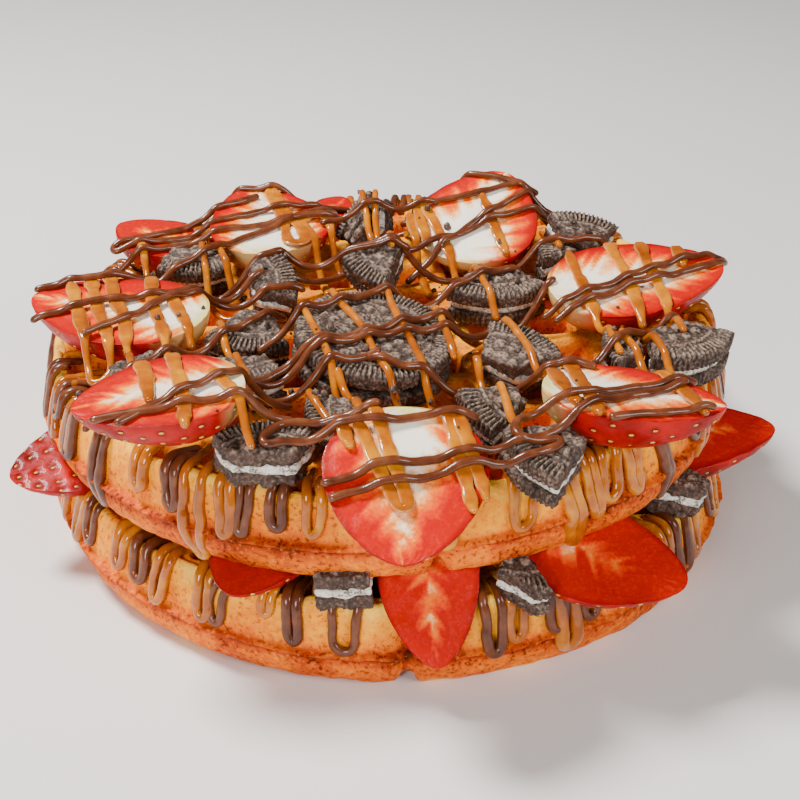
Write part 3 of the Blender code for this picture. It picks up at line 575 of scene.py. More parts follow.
midBerries = [   # the same between the waffles, with the cut face's height before how pale it is
    (-85.5, -36.0, 204, -8, -20, 44.0, 28.5, 9.5, 31.5, -2.0),
    (-31.5, -81.0, 252, -3, 0, 40.0, 29.5, 6.5, 31.5, -0.3),
    (12.3, -93.0, -86, -44, 0, 39.0, 26.5, 5.5, 28.0, 0.15),
    (56.0, -82.0, -31, -6, 12, 44.0, 34.5, 7.5, 33.0, 0.0),
    (90.0, -25.5, 21, 1, 10, 47.5, 27.5, 11.5, 33.5, 0.2),
    (-65.5, 65.5, 138, -4, 0, 42.0, 29.5, 6.5, 31.5, 0.2),
    (8.5, 88.5, 82, -4, 0, 42.0, 31.5, 7.5, 33.5, 0.2),
    (73.5, 59.0, 37, -3, 0, 44.0, 30.5, 8.5, 36.0, 0.2),
]


def seedSeats(width, bothSides, rng):
    # Where the seeds sit, along the axis and round it: rows staggered along the skin, and with
    # bothSides their mirror images on the upper half
    seats = []
    for row in range(bs.seedRows):
        place = 0.09 + 0.86 * row / (bs.seedRows - 1)
        share = math.sin(math.pi * place ** bs.power) ** bs.fullness
        count = max(3, round(share * width / bs.seedSpacing))
        for i in range(count):
            turn = math.pi * (1.03 + 0.94 * (i + (0.25 if row % 2 else 0.75)) / count)
            seats.append((min(0.96, place + rng.uniform(-0.012, 0.012)), turn + rng.uniform(-0.06, 0.06)))
            if bothSides:
                seats.append((seats[-1][0], math.tau - seats[-1][1]))
    return np.array(seats)


def strawberryHalf(length, width, depth, pale, seed):
    # Along the axis t from 0 to 1 the half width is width / 2 * sin(pi * t^power)^fullness. Round
    # it, the upper half is the cut face, nearly flat, and the lower half the skin, depth deep.
    # Each seed is a bead in a pit. With pale below -1 the upper half has skin and seeds too.
    rng = random.Random(seed)
    lean, bump = rng.uniform(-0.07, 0.07), rng.uniform(0.0, math.tau)
    t = (1 - np.cos(np.pi * (np.arange(bs.rings) + 0.7) / (bs.rings + 0.4))) / 2
    around = np.arange(bs.around) / bs.around * math.tau

    def surface(t, around):
        # The body's point at t along the axis and at that angle round it
        full = np.sin(np.pi * t ** bs.power) ** bs.fullness * (1 + 0.04 * np.sin(2 * around + bump))
        side = np.cos(around) * full * width / 2 + lean * length * np.sin(np.pi * t)
        up = np.sin(around)
        fall = np.where(up > 0, 0.35 * up * np.minimum(full, 1.0), up * full * depth)
        return stacked((t - 0.5) * length, side, fall)

    t, around = np.meshgrid(t, around, indexing="ij")
    points = surface(t, around)
    cut = (np.sin(around) > 0.02).astype(float) * (pale > -1)
    core = 1 - np.abs(np.cos(around))
    skinShare = smooth(-np.sin(around) * 6) if pale > -1 else 1.0
    points[..., 2] += cut * (0.22 * lumps(points, 3.5, seed) + 0.1 * lumps(points, 1.2, seed))
    points += (1 - cut)[..., None] * 0.25 * lumps(points, 6.0, seed + 3)[..., None] * [0, 1, 1]
    seats = seedSeats(width, pale < -1, rng)
    centres = surface(seats[:, 0], seats[:, 1])
    ahead = unit(surface(seats[:, 0] + 0.01, seats[:, 1]) - centres)
    beside = surface(seats[:, 0], seats[:, 1] + 0.03) - centres
    normal = unit(np.cross(ahead, beside))
    normal *= np.sign(np.sum(normal * centres * [0, 1, 1], 1))[:, None]
    far = np.linalg.norm(points[:, :, None, :] - centres, axis=-1)
    nearest = far.argmin(-1)
    pit = np.exp(-(far.min(-1) / bs.pitRadius) ** 2) * skinShare
    points = points - normal[nearest] * pit[..., None] * bs.pitDepth
    reach = np.abs(np.cos(around))
    rays = 0.5 + 0.5 * lumps(stacked(t * length * 0.9 - reach * width * 0.35, reach * 2.5,
                                     np.sign(np.cos(around)) * 9.0), 1.6, seed)
    body = skin(points, {"cut": cut, "core": core, "along": t, "pale": pale, "rays": rays, "pit": pit})
    long, wide, thick = bs.seed
    ring = np.arange(6) / 6 * math.tau
    steps = np.array([0.12, 0.4, 0.75])[:, None]
    swell = np.sin(steps * math.pi)
    bead = stacked(np.cos(steps * math.pi) * long / 2, swell * np.cos(ring) * wide / 2,
                   swell * np.sin(ring) * thick / 2)
    sideways = np.cross(normal, ahead)
    seeds = []
    for i in range(len(seats)):
        turned = bead @ np.stack([ahead[i], sideways[i], normal[i]])
        seeds.append(skin(turned + centres[i] - normal[i] * (bs.pitDepth - 0.16), kind=1))
    return joined([body] + seeds)


def berryMatrix(x, y, z, heading, pitch, roll):
    # Rolled about its length, pitched up at the tip, headed and moved to its place in the stack
    return (moveBy(x + shift[0], y + shift[1], z) @ turnAbout("Z", heading) @ turnAbout("Y", -pitch)
            @ turnAbout("X", roll))


def planeHeight(node, matrix, lowest):
    # How far to lift the piece so that its own plane z = 0 meets the solid's flat face there:
    # the level, along the plane's normal, that most corners share, or the lowest shared one
    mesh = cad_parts[node].data
    corners = np.zeros(len(mesh.vertices) * 3)
    mesh.vertices.foreach_get("co", corners)
    corners = np.unique(np.round(corners.reshape(-1, 3) / mm, 3), axis=0)
    normal = matrix[:3, 2]
    levels, counts = np.unique(np.round(corners @ normal, 1), return_counts=True)
    level = levels[counts >= 5][0] if lowest else levels[counts.argmax()]
    return (level - matrix[:3, 3] @ normal) / normal[2]


berryTop = []
for index, (x, y, heading, pitch, roll, length, width, depth, pale) in enumerate(topBerries, 1):
    node = f"strawberry_top_{index}"
    matrix = berryMatrix(x, y, 0.0, heading, pitch, roll)
    matrix[2, 3] += planeHeight(node, matrix, lowest=False)
    berryTop.append(moved(strawberryHalf(length, width, depth, pale, 30 + index), matrix))
    piece(f"strawberryTop{index}", berryTop[-1], [berry, seedGold], [node])
for index, (x, y, heading, pitch, roll, length, width, depth, z, pale) in enumerate(midBerries, 1):
    made = moved(strawberryHalf(length, width, depth, pale, 10 + index),
                 berryMatrix(x, y, z, heading, pitch, roll))
    piece(f"strawberryMid{index}", made, [berry, seedGold], [f"strawberry_mid_{index}"])
print("strawberries made")


# Cookies

cs = SimpleNamespace(radius=21.2, height=11.0, wafer=4.3, creamInset=1.1, ridges=90,
                     around=296, wholeAround=520, rings=24, wholeRings=40, ragged=0.8,
                     bandFrom=16.6, ringRadius=15.4, bevelFrom=20.2, raised=0.4,
                     dotRings=((3.6, 6), (7.6, 12), (11.8, 18)), dotRaised=0.45)
# Each break is the heading of its outward normal on the piece and its distance from the unbroken
# axis, as a share of the radius. The first row is the whole cookie, and the others are numbered.
topCookies = [   # x and y of the unbroken axis, heading, lean, heading of the lean, breaks
    (-5.5, -36.0, 0, 9, -48, []),
    (-61.5, 36.0, -84, 16, -90, [(118, 0.04), (-118, 0.1), (180, -0.4)]),
    (-50.0, 1.5, 18, 22, -70, [(112, 0.12), (-116, 0.02), (176, -0.4)]),
    (-37.0, -15.0, -97, 15, -95, [(121, 0.05), (-123, 0.02), (170, -0.2)]),
    (-42.0, -35.0, -82, 4, -90, [(120, 0.1), (-120, 0.0), (180, -0.42)]),
    (-72.5, -35.0, -62, 12, -100, [(114, 0.1), (-114, 0.1), (180, -0.5)]),
    (-28.5, -100.0, 96, 9, -90, [(118, 0.12), (-120, 0.1), (176, -0.4)]),
    (-0.5, -70.0, 192, 10, -60, [(110, -0.1), (-110, 0.06), (180, -0.4)]),
    (36.5, -62.0, 214, 16, -60, [(112, 0.0), (-112, 0.02), (172, -0.26)]),
    (48.5, -80.0, 216, 12, -80, [(116, 0.06), (-112, 0.1), (184, -0.2)]),
    (25.5, -50.0, 48, 13, -112, [(120, 0.1), (-120, 0.08), (180, -0.25)]),
    (27.5, 13.5, -78, 7, -80, [(131, 0.02), (-131, 0.06), (180, -0.25)]),
    (4.5, 26.0, -130, 33, -100, [(114, 0.0), (-114, 0.08), (176, -0.24)]),
    (-1.5, 37.5, 100, 56, -158, [(112, 0.05), (-114, 0.1), (182, -0.3)]),
    (55.5, 25.5, 84, 18, -66, [(116, 0.08), (-118, 0.05), (178, -0.3)]),
    (65.0, 26.5, 190, 10, -80, [(112, -0.2), (-108, -0.06), (180, -0.48)]),
    (71.5, -27.0, -56, 9, -60, [(130, 0.02), (-130, 0.06), (182, -0.25)]),
    (78.0, -38.5, 186, 6, -90, [(112, 0.0), (-112, 0.0), (180, -0.55)]),
]
midCookies = [   # the same between the waffles, and the height of the lower face
    (-9.5, -92.0, 0, 6, 200, [(-94, 0.26), (165, 0.28), (4, 0.29)], 24.5),
    (33.0, -76.5, -84, 15, -82, [(112, -0.12), (-114, 0.02), (180, -0.1), (-41, 0.68)], 28.0),
    (91.5, -55.5, 152, 8, -40, [(110, 0.0), (-108, 0.0), (180, -0.35)], 24.0),
    (-75.5, 14.5, 170, 5, 170, [(118, 0.1), (-118, 0.0), (180, -0.3)], 27.0),
    (-22.5, 75.0, 110, 6, 110, [(116, 0.1), (-118, 0.1), (180, -0.3)], 27.0),
    (36.0, 71.0, 60, 6, 62, [(116, 0.0), (-118, 0.1), (180, -0.3)], 27.0),
]


def outline(breaks, inset=0.0):
    # Directions from the piece's middle, how far its edge is in each, and where that is a break
    radius = cs.radius
    steps = np.linspace(-radius, radius, 81)
    grid = np.stack(np.meshgrid(steps, steps), -1).reshape(-1, 2)
    inside = np.hypot(grid[:, 0], grid[:, 1]) < radius
    planes = [(np.array([math.cos(math.radians(h)), math.sin(math.radians(h))]), away * radius)
              for h, away in breaks]
    for normal, away in planes:
        inside &= grid @ normal < away
    middle = grid[inside].mean(0)

    def edgeAt(angle):
        # The nearer of the round rim and the breaks in each direction
        ray = stacked(np.cos(angle), np.sin(angle))
        along = ray @ middle
        reach = -along + np.sqrt(along ** 2 + (radius - inset) ** 2 - middle @ middle)
        broken = np.zeros(len(angle))
        for normal, away in planes:
            toward = ray @ normal
            hit = (away - inset * 0.1 - middle @ normal) / np.maximum(toward, 1e-6)
            hit = np.where(toward > 1e-6, hit, 1e9)
            broken = np.where(hit < reach, 1.0, broken)
            reach = np.minimum(reach, hit)
        return ray, reach, broken

    # Directions lie twice as close along the rim, whose ridges are fine, as along a break
    fine = np.linspace(0, math.tau, 2001)
    ray, reach, broken = edgeAt(fine)
    share = np.linalg.norm(np.diff(ray * reach[:, None], axis=0), axis=1) * (2.0 - broken[:-1])
    share = np.concatenate([[0], np.cumsum(share)])
    count = cs.around if breaks else cs.wholeAround
    angle = np.interp(np.arange(count) / count * share[-1], share, fine)
    ray, reach, broken = edgeAt(angle)
    return middle, ray, reach, broken


def relief(x, y):
    # Embossing on a wafer: ridges along the rim, a thin ring, and three rings of round dots
    far, angle = np.hypot(x, y), np.arctan2(y, x)
    band = smooth((far - cs.bandFrom) / 0.5) * smooth(22.0 - far)
    height = cs.raised * band * np.tanh(2.0 * np.cos(cs.ridges * angle))
    height = height + cs.raised * np.exp(-((far - cs.ringRadius) / 0.45) ** 2)
    for ringRadius, count in cs.dotRings:
        turn = (angle * count / math.tau + 0.5) % 1 - 0.5
        away = np.hypot(far - ringRadius, turn * math.tau / count * ringRadius)
        height = height + cs.dotRaised * smooth(1.7 - away)
    return height - 0.85 * smooth((far - cs.bevelFrom) / 1.1) ** 2


def waferSkin(breaks, low, outward, seed, rings):
    # A wafer from the middle of its outer face, out over the edge and back under it
    middle, ray, reach, broken = outline(breaks)
    thick = cs.wafer
    share = np.concatenate([np.linspace(0.02, 0.97, rings), [1.0, 1.01, 1.012, 1.012, 1.01, 1.0],
                            [0.93, 0.6, 0.2]])
    level = np.concatenate([np.ones(rings), [0.93, 0.74, 0.52, 0.32, 0.14, 0.02], [0.0, 0.0, 0.0]])
    face = np.concatenate([np.ones(rings), [0.4], np.zeros(8)])
    side = np.concatenate([np.zeros(rings - 1), [0.4], np.ones(6), [0.3, 0, 0]])
    x = middle[0] + share[:, None] * reach * ray[:, 0]
    y = middle[1] + share[:, None] * reach * ray[:, 1]
    z = np.broadcast_to(level[:, None] * thick, x.shape)
    spot = stacked(x, y, z + seed * 3.0)
    ragged = cs.ragged * (lumps(spot, 2.2, seed) + 0.6 * lumps(spot, 0.9, seed + 1)) * broken
    flutes = np.tanh(2.0 * np.cos(cs.ridges * np.arctan2(y, x)))
    edge = smooth((share[:, None] - 0.72) / 0.28) * ragged + side[:, None] * (1 - broken) * 0.22 * flutes
    x, y = x + edge * ray[:, 0], y + edge * ray[:, 1]
    raised = relief(x, y)
    crumble = broken * smooth((share[:, None] - 0.86) / 0.14) * face[:, None]
    z = z + face[:, None] * (raised + 0.14 * lumps(spot, 1.3, seed) + 0.1 * lumps(spot, 0.6, seed))
    z = z - crumble * (0.5 + 0.5 * lumps(spot, 1.6, seed + 2))
    z = low + (z if outward > 0 else thick - z)
    # raised marks the tops of the embossing for the painted highlight
    marks = {"broken": np.maximum(broken * smooth((share[:, None] - 0.9) / 0.1), 0 * x),
             "raised": smooth(raised / 0.3) * face[:, None]}
    return skin(stacked(x, y, z), marks)


def creamSkin(breaks, seed):
    # The cream bulges a little between the wafers, drawn in from the rim and uneven at breaks
    middle, ray, reach, broken = outline(breaks, cs.creamInset + (0 if breaks else 1.6))
    low, high = cs.wafer - 0.15, cs.height - cs.wafer + 0.15
    level = np.array([0.0, 0.0, 0.04, 0.2, 0.4, 0.6, 0.8, 0.96, 1.0, 1.0])[:, None]
    share = np.array([0.3, 0.8, 0.98, 1.0, 1.015, 1.015, 1.0, 0.98, 0.8, 0.3])[:, None]
    x, y = middle[0] + share * reach * ray[:, 0], middle[1] + share * reach * ray[:, 1]
    z = low + (high - low) * level + 0 * x
    spot = stacked(x, y, z)
    rough = 0.5 * lumps(spot, 3.2, seed) + 0.3 * lumps(spot, 1.1, seed)
    rough = (rough + broken * (0.9 * lumps(spot, 4.0, seed + 1) + 0.3)) * smooth((share - 0.85) / 0.15)
    x, y = x + rough * ray[:, 0], y + rough * ray[:, 1]
    return skin(stacked(x, y, z), {"broken": 0.0, "raised": 0.0}, kind=1)


def cookiePiece(breaks, seed):
    # The upper wafer, the lower one in coarser steps, and the cream between them
    rings = cs.rings if breaks else cs.wholeRings
    top = waferSkin(breaks, cs.height - cs.wafer, 1, seed, rings)
    return joined([top, waferSkin(breaks, 0.0, -1, seed + 5, 14), creamSkin(breaks, seed + 9)])


def cookieMatrix(x, y, z, heading, lean, leanTo):
    # Headed, tilted by lean so that the side towards leanTo sinks, and moved to its place
    toward = math.radians(leanTo)
    tilt = np.array(Matrix.Rotation(math.radians(lean), 4, Vector((-math.sin(toward), math.cos(toward), 0))))
    return moveBy(x + shift[0], y + shift[1], z) @ tilt @ turnAbout("Z", heading)


cookieTop = []
for index, (x, y, heading, lean, leanTo, breaks) in enumerate(topCookies):
    name, node = (f"cookieTop{index}", f"cookie_top_{index}") if index else ("cookieWhole", "cookie_whole")
    matrix = cookieMatrix(x, y, 0.0, heading, lean, leanTo)
    matrix[2, 3] += planeHeight(node, matrix, lowest=True)
    cookieTop.append(moved(cookiePiece(breaks, 20 + index), matrix))
    piece(name, cookieTop[-1], [wafer, cream], [node])
for index, (x, y, heading, lean, leanTo, breaks, z) in enumerate(midCookies, 1):
    made = moved(cookiePiece(breaks, 59 + index), cookieMatrix(x, y, z, heading, lean, leanTo))
    piece(f"cookieMid{index}", made, [wafer, cream], [f"cookie_mid_{index}"])
print("cookies made")


# Sauces

ss = SimpleNamespace(
    step=0.8, sides=14, sag=0.045, rests=0.72, wave=(1.3, 16.0), wobble=(0.35, 4.5),
    chocolateRadius=1.04, caramelRadius=1.06, spreadOnFruit=0.8, spreadOnWaffle=0.3,
    chocolateHeading=19.0, caramelHeading=-74.0, loopRadius=1.3, turnsWithin=11.0,
    flatter=0.4, furrow=0.45, bow=(0.4, 0.65), hangRadius=98.0,
    poolShare=0.55, poolHalf=5.3, poolDepth=1.7, poolsWithin=84.0,
)
# Each pass over the top: how far beside the middle, extra turn in degrees, start and end along it
chocolatePasses = [
    (-93, -4, 18, 48), (-91, -4, -84, -1), (-87, -6, -84, 6), (-86, 11, 2, 47), (-80, 3, 6, 51),
    (-75, -9, -56, -8), (-67, -14, -50, -30), (-62, -7, -98, -50), (-55, 20, -97, -46),
    (-54, -28, -24, 29), (-48, 24, 34, 72), (-40, 0, -54, -20), (-31, 7, -60, 34), (-26, 12, -52, 40),
    (-22, 8, 32, 90), (-26, 8, 34, 88), (-16, 24, -97, -36), (-4, 14, -48, 76), (11, 20, -92, -36),
    (15, -2, -104, -26), (18, -7, -8, 80), (26, -18, -34, 8), (30, -1, -101, -28), (33, 2, -24, 52),
    (38, 17, 10, 80), (48, 22, -74, -6), (49, -8, -10, 60), (55, -38, 22, 60), (58, 0, -76, 0),
    (65, 5, -72, -4), (71, 12, -72, -24), (73, -17, -44, 64)]
caramelPasses = [
    (-92, 1, -26, 14), (-86, 0, -27, 12), (-80, 1, -30, 62), (-71, -2, -60, 74), (-65, 4, -10, 14),
    (-61, 12, 52, 76), (-54, -1, 4, 24), (-53, 6, 26, 44), (-50, -6, -80, -32), (-45, 6, -44, -26),
    (-38, 8, 54, 82), (-32, 2, 8, 52), (-31, 10, 74, 98), (-28, 4, 44, 98), (-24, -2, -82, -46),
    (-21, 4, -80, -46), (-20, 8, 2, 56), (-17, 5, -52, -26), (-12, -3, 70, 104), (-9, 2, 74, 102),
    (-8, 0, -2, 50), (-10, 2, -56, -38), (2, -5, -68, -42), (3, -2, -4, 42), (4, -6, -60, -20),
    (7, -6, 28, 90), (15, -5, -54, -24), (18, -1, -66, -34), (20, 2, 32, 84), (22, 6, -54, -22),
    (23, -2, -18, 16), (25, -7, 58, 92), (39, 2, -48, -22), (46, -5, 2, 56), (49, 3, 50, 94),
    (54, 0, 44, 66), (53, -4, -34, -14), (61, -8, -10, 38), (68, -8, -8, 52), (81, -12, -10, 18)]
# Loops over the rims in front: heading on the waffle, how far down, distance between the legs
upperChocolateLoops = [
    (197, 15, 3.5), (206, 8, 4.5), (213, 14, 3.5), (222, 22, 4), (238, 11, 3), (251, 13, 3),
    (256, 10, 3.5), (318, 22, 1.5), (328, 12, 5.5), (344, 13, 4)]
upperCaramelLoops = [
    (204, 16, 4), (212, 14, 4), (232, 9, 3.5), (242, 25, 5), (248, 14, 3.5), (261, 11, 3.5),
    (269, 12, 3), (279, 14, 3.5), (292, 13, 6.5), (299, 23, 3), (303, 16, 3), (307, 13, 5),
    (311, 14, 3), (333, 20, 4.5), (340, 16, 4), (350, 20, 4)]
lowerChocolateLoops = [
    (197, 12, 4.5), (213, 11, 5), (228, 10, 5), (244, 12, 4), (256, 12, 3), (264, 13, 6.5),
    (286, 15, 4.5), (297, 12, 5), (302, 12, 4.5), (326, 17, 6), (339, 11, 5)]
lowerCaramelLoops = [
    (201, 18, 4), (209, 14, 3.5), (223, 10, 4), (233, 13, 4), (241, 12, 3.5), (252, 6, 3),
    (290, 12, 4), (298, 19, 4.5), (321, 10, 4), (330, 14, 4.5), (343, 14, 7)]


def loopsBehind(first, apart, seed):
    # The loops that the photograph doesn't show: round the back, that many degrees apart, with
    # seeded headings, drops and widths
    rng = random.Random(seed)
    return [(heading % 360 + rng.uniform(-5, 5), rng.uniform(11, 18), rng.uniform(3, 5.5))
            for heading in range(first, first + 185, apart)]


def passLine(beside, turn, start, end, heading, seed):
    # A straight pass with a slow wave and a small wobble across it, as points 2 mm apart
    along = np.linspace(start, end, max(4, int(abs(end - start) / 2)))
    flat = stacked(along, beside, 0.0)
    across = beside + math.tan(math.radians(turn)) * (along - (start + end) / 2)
    for size, length in (ss.wave, ss.wobble):
        across = across + size * lumps(flat, length, seed)
    angle = math.radians(heading)
    return stacked(along * math.cos(angle) - across * math.sin(angle),
                   along * math.sin(angle) + across * math.cos(angle))


def eased(values, passes):
    # The values with each one drawn towards its neighbours, as often as passes says
    values = values.astype(float)
    for _ in range(passes):
        values[1:-1] = (values[:-2] + 2 * values[1:-1] + values[2:]) / 4
    return values


def evenly(points, step, cap):
    # The line at even steps, closer at its ends, with its corners rounded, and how far each point
    # is from the nearer end
    along = np.concatenate([[0], np.cumsum(np.linalg.norm(np.diff(points, axis=0), axis=1))])
    total = along[-1]
    ends = np.array([0, 0.1, 0.35, 0.75]) * cap
    at = np.concatenate([ends, np.linspace(cap * 1.3, total - cap * 1.3, max(4, int(total / step))),
                         total - ends[::-1]])
    line = stacked(*(np.interp(at, along, column) for column in points.T))
    line[4:-4] = eased(line[4:-4], 5)
    return line, np.minimum(at, total - at)


def treeOf(skins):
    # The surfaces as one search tree, and what kind each of its faces is
    points, faces, kinds, start = [], [], [], 0
    for kind, one in skins:
        points += one["points"].tolist()
        faces += (one["quads"] + start).tolist() + (one["tris"] + start).tolist()
        kinds += [kind] * (len(one["quads"]) + len(one["tris"]))
        start += len(one["points"])
    return BVHTree.FromPolygons(points, faces), np.array(kinds + [0])


def bedUnder(places, bed):
    # Height and kind of the highest face under each place, or -1000 where there is none
    tree, kinds = bed
    heights, found = np.full(len(places), -1000.0), np.zeros(len(places), int)
    down = Vector((0, 0, -1))
    for i, (x, y) in enumerate(places.tolist()):
        spot, _, index, _ = tree.ray_cast(Vector((x, y, 150.0)), down)
        if spot is not None:
            heights[i], found[i] = spot.z, kinds[index]
    return heights, found


def draped(line, radius, bed):
    # The strand lies on the highest face under it and its sides, and sags between the places
    # where it lies: z = max(bed, mean of its neighbours - sag), worked out until it settles. A
    # free end falls by no more than the step before it. The rest says what kind of face lies
    # under each point and whether the strand touches it.
    ahead = np.gradient(line, axis=0)
    side = stacked(-ahead[:, 1], ahead[:, 0]) / np.maximum(np.hypot(*ahead.T), 1e-6)[:, None]
    middle, kind = bedUnder(line, bed)
    low = middle
    for offset in (-0.8, 0.8):
        low = np.maximum(low, bedUnder(line + side * offset * radius, bed)[0])
    low = low + radius * ss.rests
    z = np.full(len(low), low.max())
    first, last = np.linalg.norm(line[0] - line[1]), np.linalg.norm(line[-1] - line[-2])
    for _ in range(500):
        z[1:-1] = np.maximum(low[1:-1], (z[:-2] + z[2:]) / 2 - ss.sag)
        z[0], z[-1] = max(low[0], z[1] - first), max(low[-1], z[-2] - last)
    z = eased(z, 3)
    return np.column_stack([line, z]), kind, z - low < 0.6 * radius


def strandSkin(path, fromEnd, radius, spread, facing, seed):
    # A tube along the path: an ellipse of half width r(1 + spread) and half height r(1 - flatter *
    # spread), rounded off at both ends, with a furrow on its back, furrow * spread deep, where it
    # has spread. edge is 1 at its sides there.
    ahead = unit(np.gradient(path, axis=0))
    side = unit(np.cross(ahead, facing))
    above = np.cross(side, ahead)
    cap = np.clip(fromEnd / radius, 0.002, 1)
    spread = spread * smooth(fromEnd / 4)
    uneven = (1 + (0.1 + 0.2 * spread) * lumps(path, 4.0, seed)
              + (0.05 + 0.12 * spread) * lumps(path, 1.7, seed))
    swell = radius * np.sqrt(1 - (1 - cap) ** 2) * uneven
    turn = np.arange(ss.sides) / ss.sides * math.tau
    width, height = swell * (1 + spread), swell * (1 - ss.flatter * spread)
    furrow = 1 - ss.furrow * spread[:, None] * np.maximum(np.sin(turn), 0) ** 10
    rings = (path[:, None] + side[:, None] * (np.cos(turn) * width[:, None])[..., None]
             + above[:, None] * (np.sin(turn) * height[:, None] * furrow)[..., None])
    edge = np.abs(np.cos(turn)) ** 2 * np.minimum(1, spread * 1.6)[:, None]
    return skin(rings, {"edge": edge})


def turningBack(lines, bed):
    # Passes whose ends lie close together are one strand, which turns back in a bow between them,
    # unless the bow would hang over the rim. Each strand grows at its end, then at its start.
    narrow, wide = ss.bow
    strands, waiting = [], list(lines)
    while waiting:
        strand, grew = waiting.pop(0), 0
        while grew < 2:
            end, out = strand[-1], strand[-1] - strand[-3]
            out = out / np.linalg.norm(out)
            found = []
            for index, other in enumerate(waiting):
                for there in (other, other[::-1]):
                    gap = np.linalg.norm(there[0] - end)
                    bow = np.array([end + out * gap * narrow, (end + there[0]) / 2 + out * gap * wide,
                                    there[0] + out * gap * narrow])
                    if gap < ss.turnsWithin and (there[2] - there[0]) @ out < 0:
                        if bedUnder(bow, bed)[0].min() > ws.upperAt[2]:
                            found.append((gap, index, bow, there))
            if found:
                _, index, bow, there = min(found, key=lambda one: one[0])
                strand = np.vstack([strand, bow, there])
                waiting.pop(index)
            else:
                strand, grew = strand[::-1], grew + 1
        strands.append(strand)
    return strands


def strandsOver(passes, heading, radius, bed, spreads, seed):
    # Every pass, cut off just past what lies under it, then turned back, rounded and draped
    made, lines = [], []
    for index, (beside, turn, start, end) in enumerate(passes):
        line = passLine(beside, turn, start, end, heading, seed + index)
        over = bedUnder(line, bed)[0] > ws.upperAt[2]
        if over.sum() > 3:
            first, last = np.flatnonzero(over)[[0, -1]]
            lines.append(line[max(first - 1, 0):last + 2])
    for index, line in enumerate(turningBack(lines, bed)):
        line, fromEnd = evenly(line, ss.step, radius)
        path, kind, lies = draped(line, radius, bed)
        if path[:, 2].min() < 0:
            continue
        spread = eased(np.take(spreads, kind) * lies, 6)
        made.append(strandSkin(path, fromEnd, radius, spread, np.array([0.0, 0.0, 1.0]), seed + index))
    return made


def rimRadius(z):
    # The wall of a waffle leans in above and below its seam
    return np.interp(z, [0.0, ws.seam, ws.height],
                     [ws.bottomRadius, ws.seamRadius, ws.topRadius])


def loopSkin(heading, drop, legs, radius, matrix, seed):
    # A loop that comes over the rim from inside, hangs down the wall by drop and goes back up. Its
    # path is drawn flat, as distance round the rim, from the axis and up, and then bent round. A
    # loop with a long drop is fatter at its foot.
    rng = random.Random(seed)
    inner, top, low = rng.uniform(82, 89), ws.height + radius * 0.5, ws.height - drop
    shorter = rng.uniform(0.0, 5.0)
    half = [(1.0, inner, top - 1.2), (1.0, 92.0, top + 0.2), (1.0, 94.8, top + 0.3),
            (0.97, 96.6, top - 1.2)]
    for down in (0.3, 0.6, 0.85):
        level = ws.height - drop * down
        half.append((0.97 - 0.1 * down, rimRadius(level) + radius * 0.6, level))
    half.append((0.6, rimRadius(low) + radius * 0.6, low + 0.2 * legs))
    foot = [(0.0, rimRadius(low) + radius * 0.6, low)]
    points = [(-side * legs / 2, far, z) for side, far, z in half] + foot
    points += [(side * legs / 2, far + shorter * (far == inner), z) for side, far, z in reversed(half)]
    points = np.array(points)
    lean = rng.uniform(-1.0, 1.0)
    points[:, 0] += lean * (ws.height - points[:, 2]) * 0.14 + (points[:, 1] < 91) * rng.uniform(-3, 3)
    line, fromEnd = evenly(points, ss.step, radius)
    line[:, 0] += 0.9 * lumps(line, 7.0, seed) + 0.35 * lumps(line, 2.5, seed + 1)
    angle = math.radians(heading) + line[:, 0] / ss.hangRadius
    path = stacked(line[:, 1] * np.cos(angle), line[:, 1] * np.sin(angle), line[:, 2])
    outside = smooth((line[:, 1] - 93.5) / 4)[:, None]
    facing = outside * stacked(np.cos(angle), np.sin(angle), 0.0) + (1 - outside) * [0, 0, 1]
    fat = radius * (1 + 0.3 * smooth((drop - 11) / 8) * smooth((ws.height - line[:, 2]) / drop))
    path = path + facing * (fat - radius)[:, None] * 0.5
    turn, place = matrix[:3, :3], matrix[:3, 3]
    return strandSkin(path @ turn.T + place, fromEnd, fat, 0 * fat + 0.1, facing @ turn.T, seed)


def loopsOver(loops, radius, matrix, seed):
    # The loops over one rim, some up to a tenth thicker or thinner than radius
    return [loopSkin(heading, drop, legs, radius * (0.9 + 0.2 * (i * 7 % 5) / 4), matrix, seed + i)
            for i, (heading, drop, legs) in enumerate(loops)]


def poolSkin(x, y, seed):
    # Caramel in a pocket: a rounded square, |x|^4 + |y|^4 = half^4, that domes up a little
    around = np.arange(28) / 28 * math.tau
    square = (np.cos(around) ** 4 + np.sin(around) ** 4) ** -0.25
    share = np.array([1.0, 1.04, 0.98, 0.85, 0.55, 0.2])[:, None]
    level = np.array([-0.6, 0.45, 0.8, 0.92, 1.0, 1.03])[:, None] * ss.poolDepth
    reach = share * square * ss.poolHalf
    rings = stacked(x + reach * np.cos(around), y + reach * np.sin(around),
                    ws.height - 0.5 - ws.depth + level)
    rings[..., 2] += 0.35 * lumps(rings, 5.0, seed) * (level > 0)
    return skin(rings, {"edge": 0.0})


def pools(matrix, turn, seed):
    # Pools in a seeded share of the pockets of a waffle's upper face
    rng = random.Random(seed)
    places = [sign * (ws.first + row * ws.pitch) for row in range(ws.rows) for sign in (-1, 1)]
    made = []
    for x in places:
        for y in places:
            if rng.random() < ss.poolShare and math.hypot(x, y) < ss.poolsWithin:
                made.append(poolSkin(x, y, seed + len(made)))
    return moved(joined(made), matrix @ turnAbout("Z", turn))


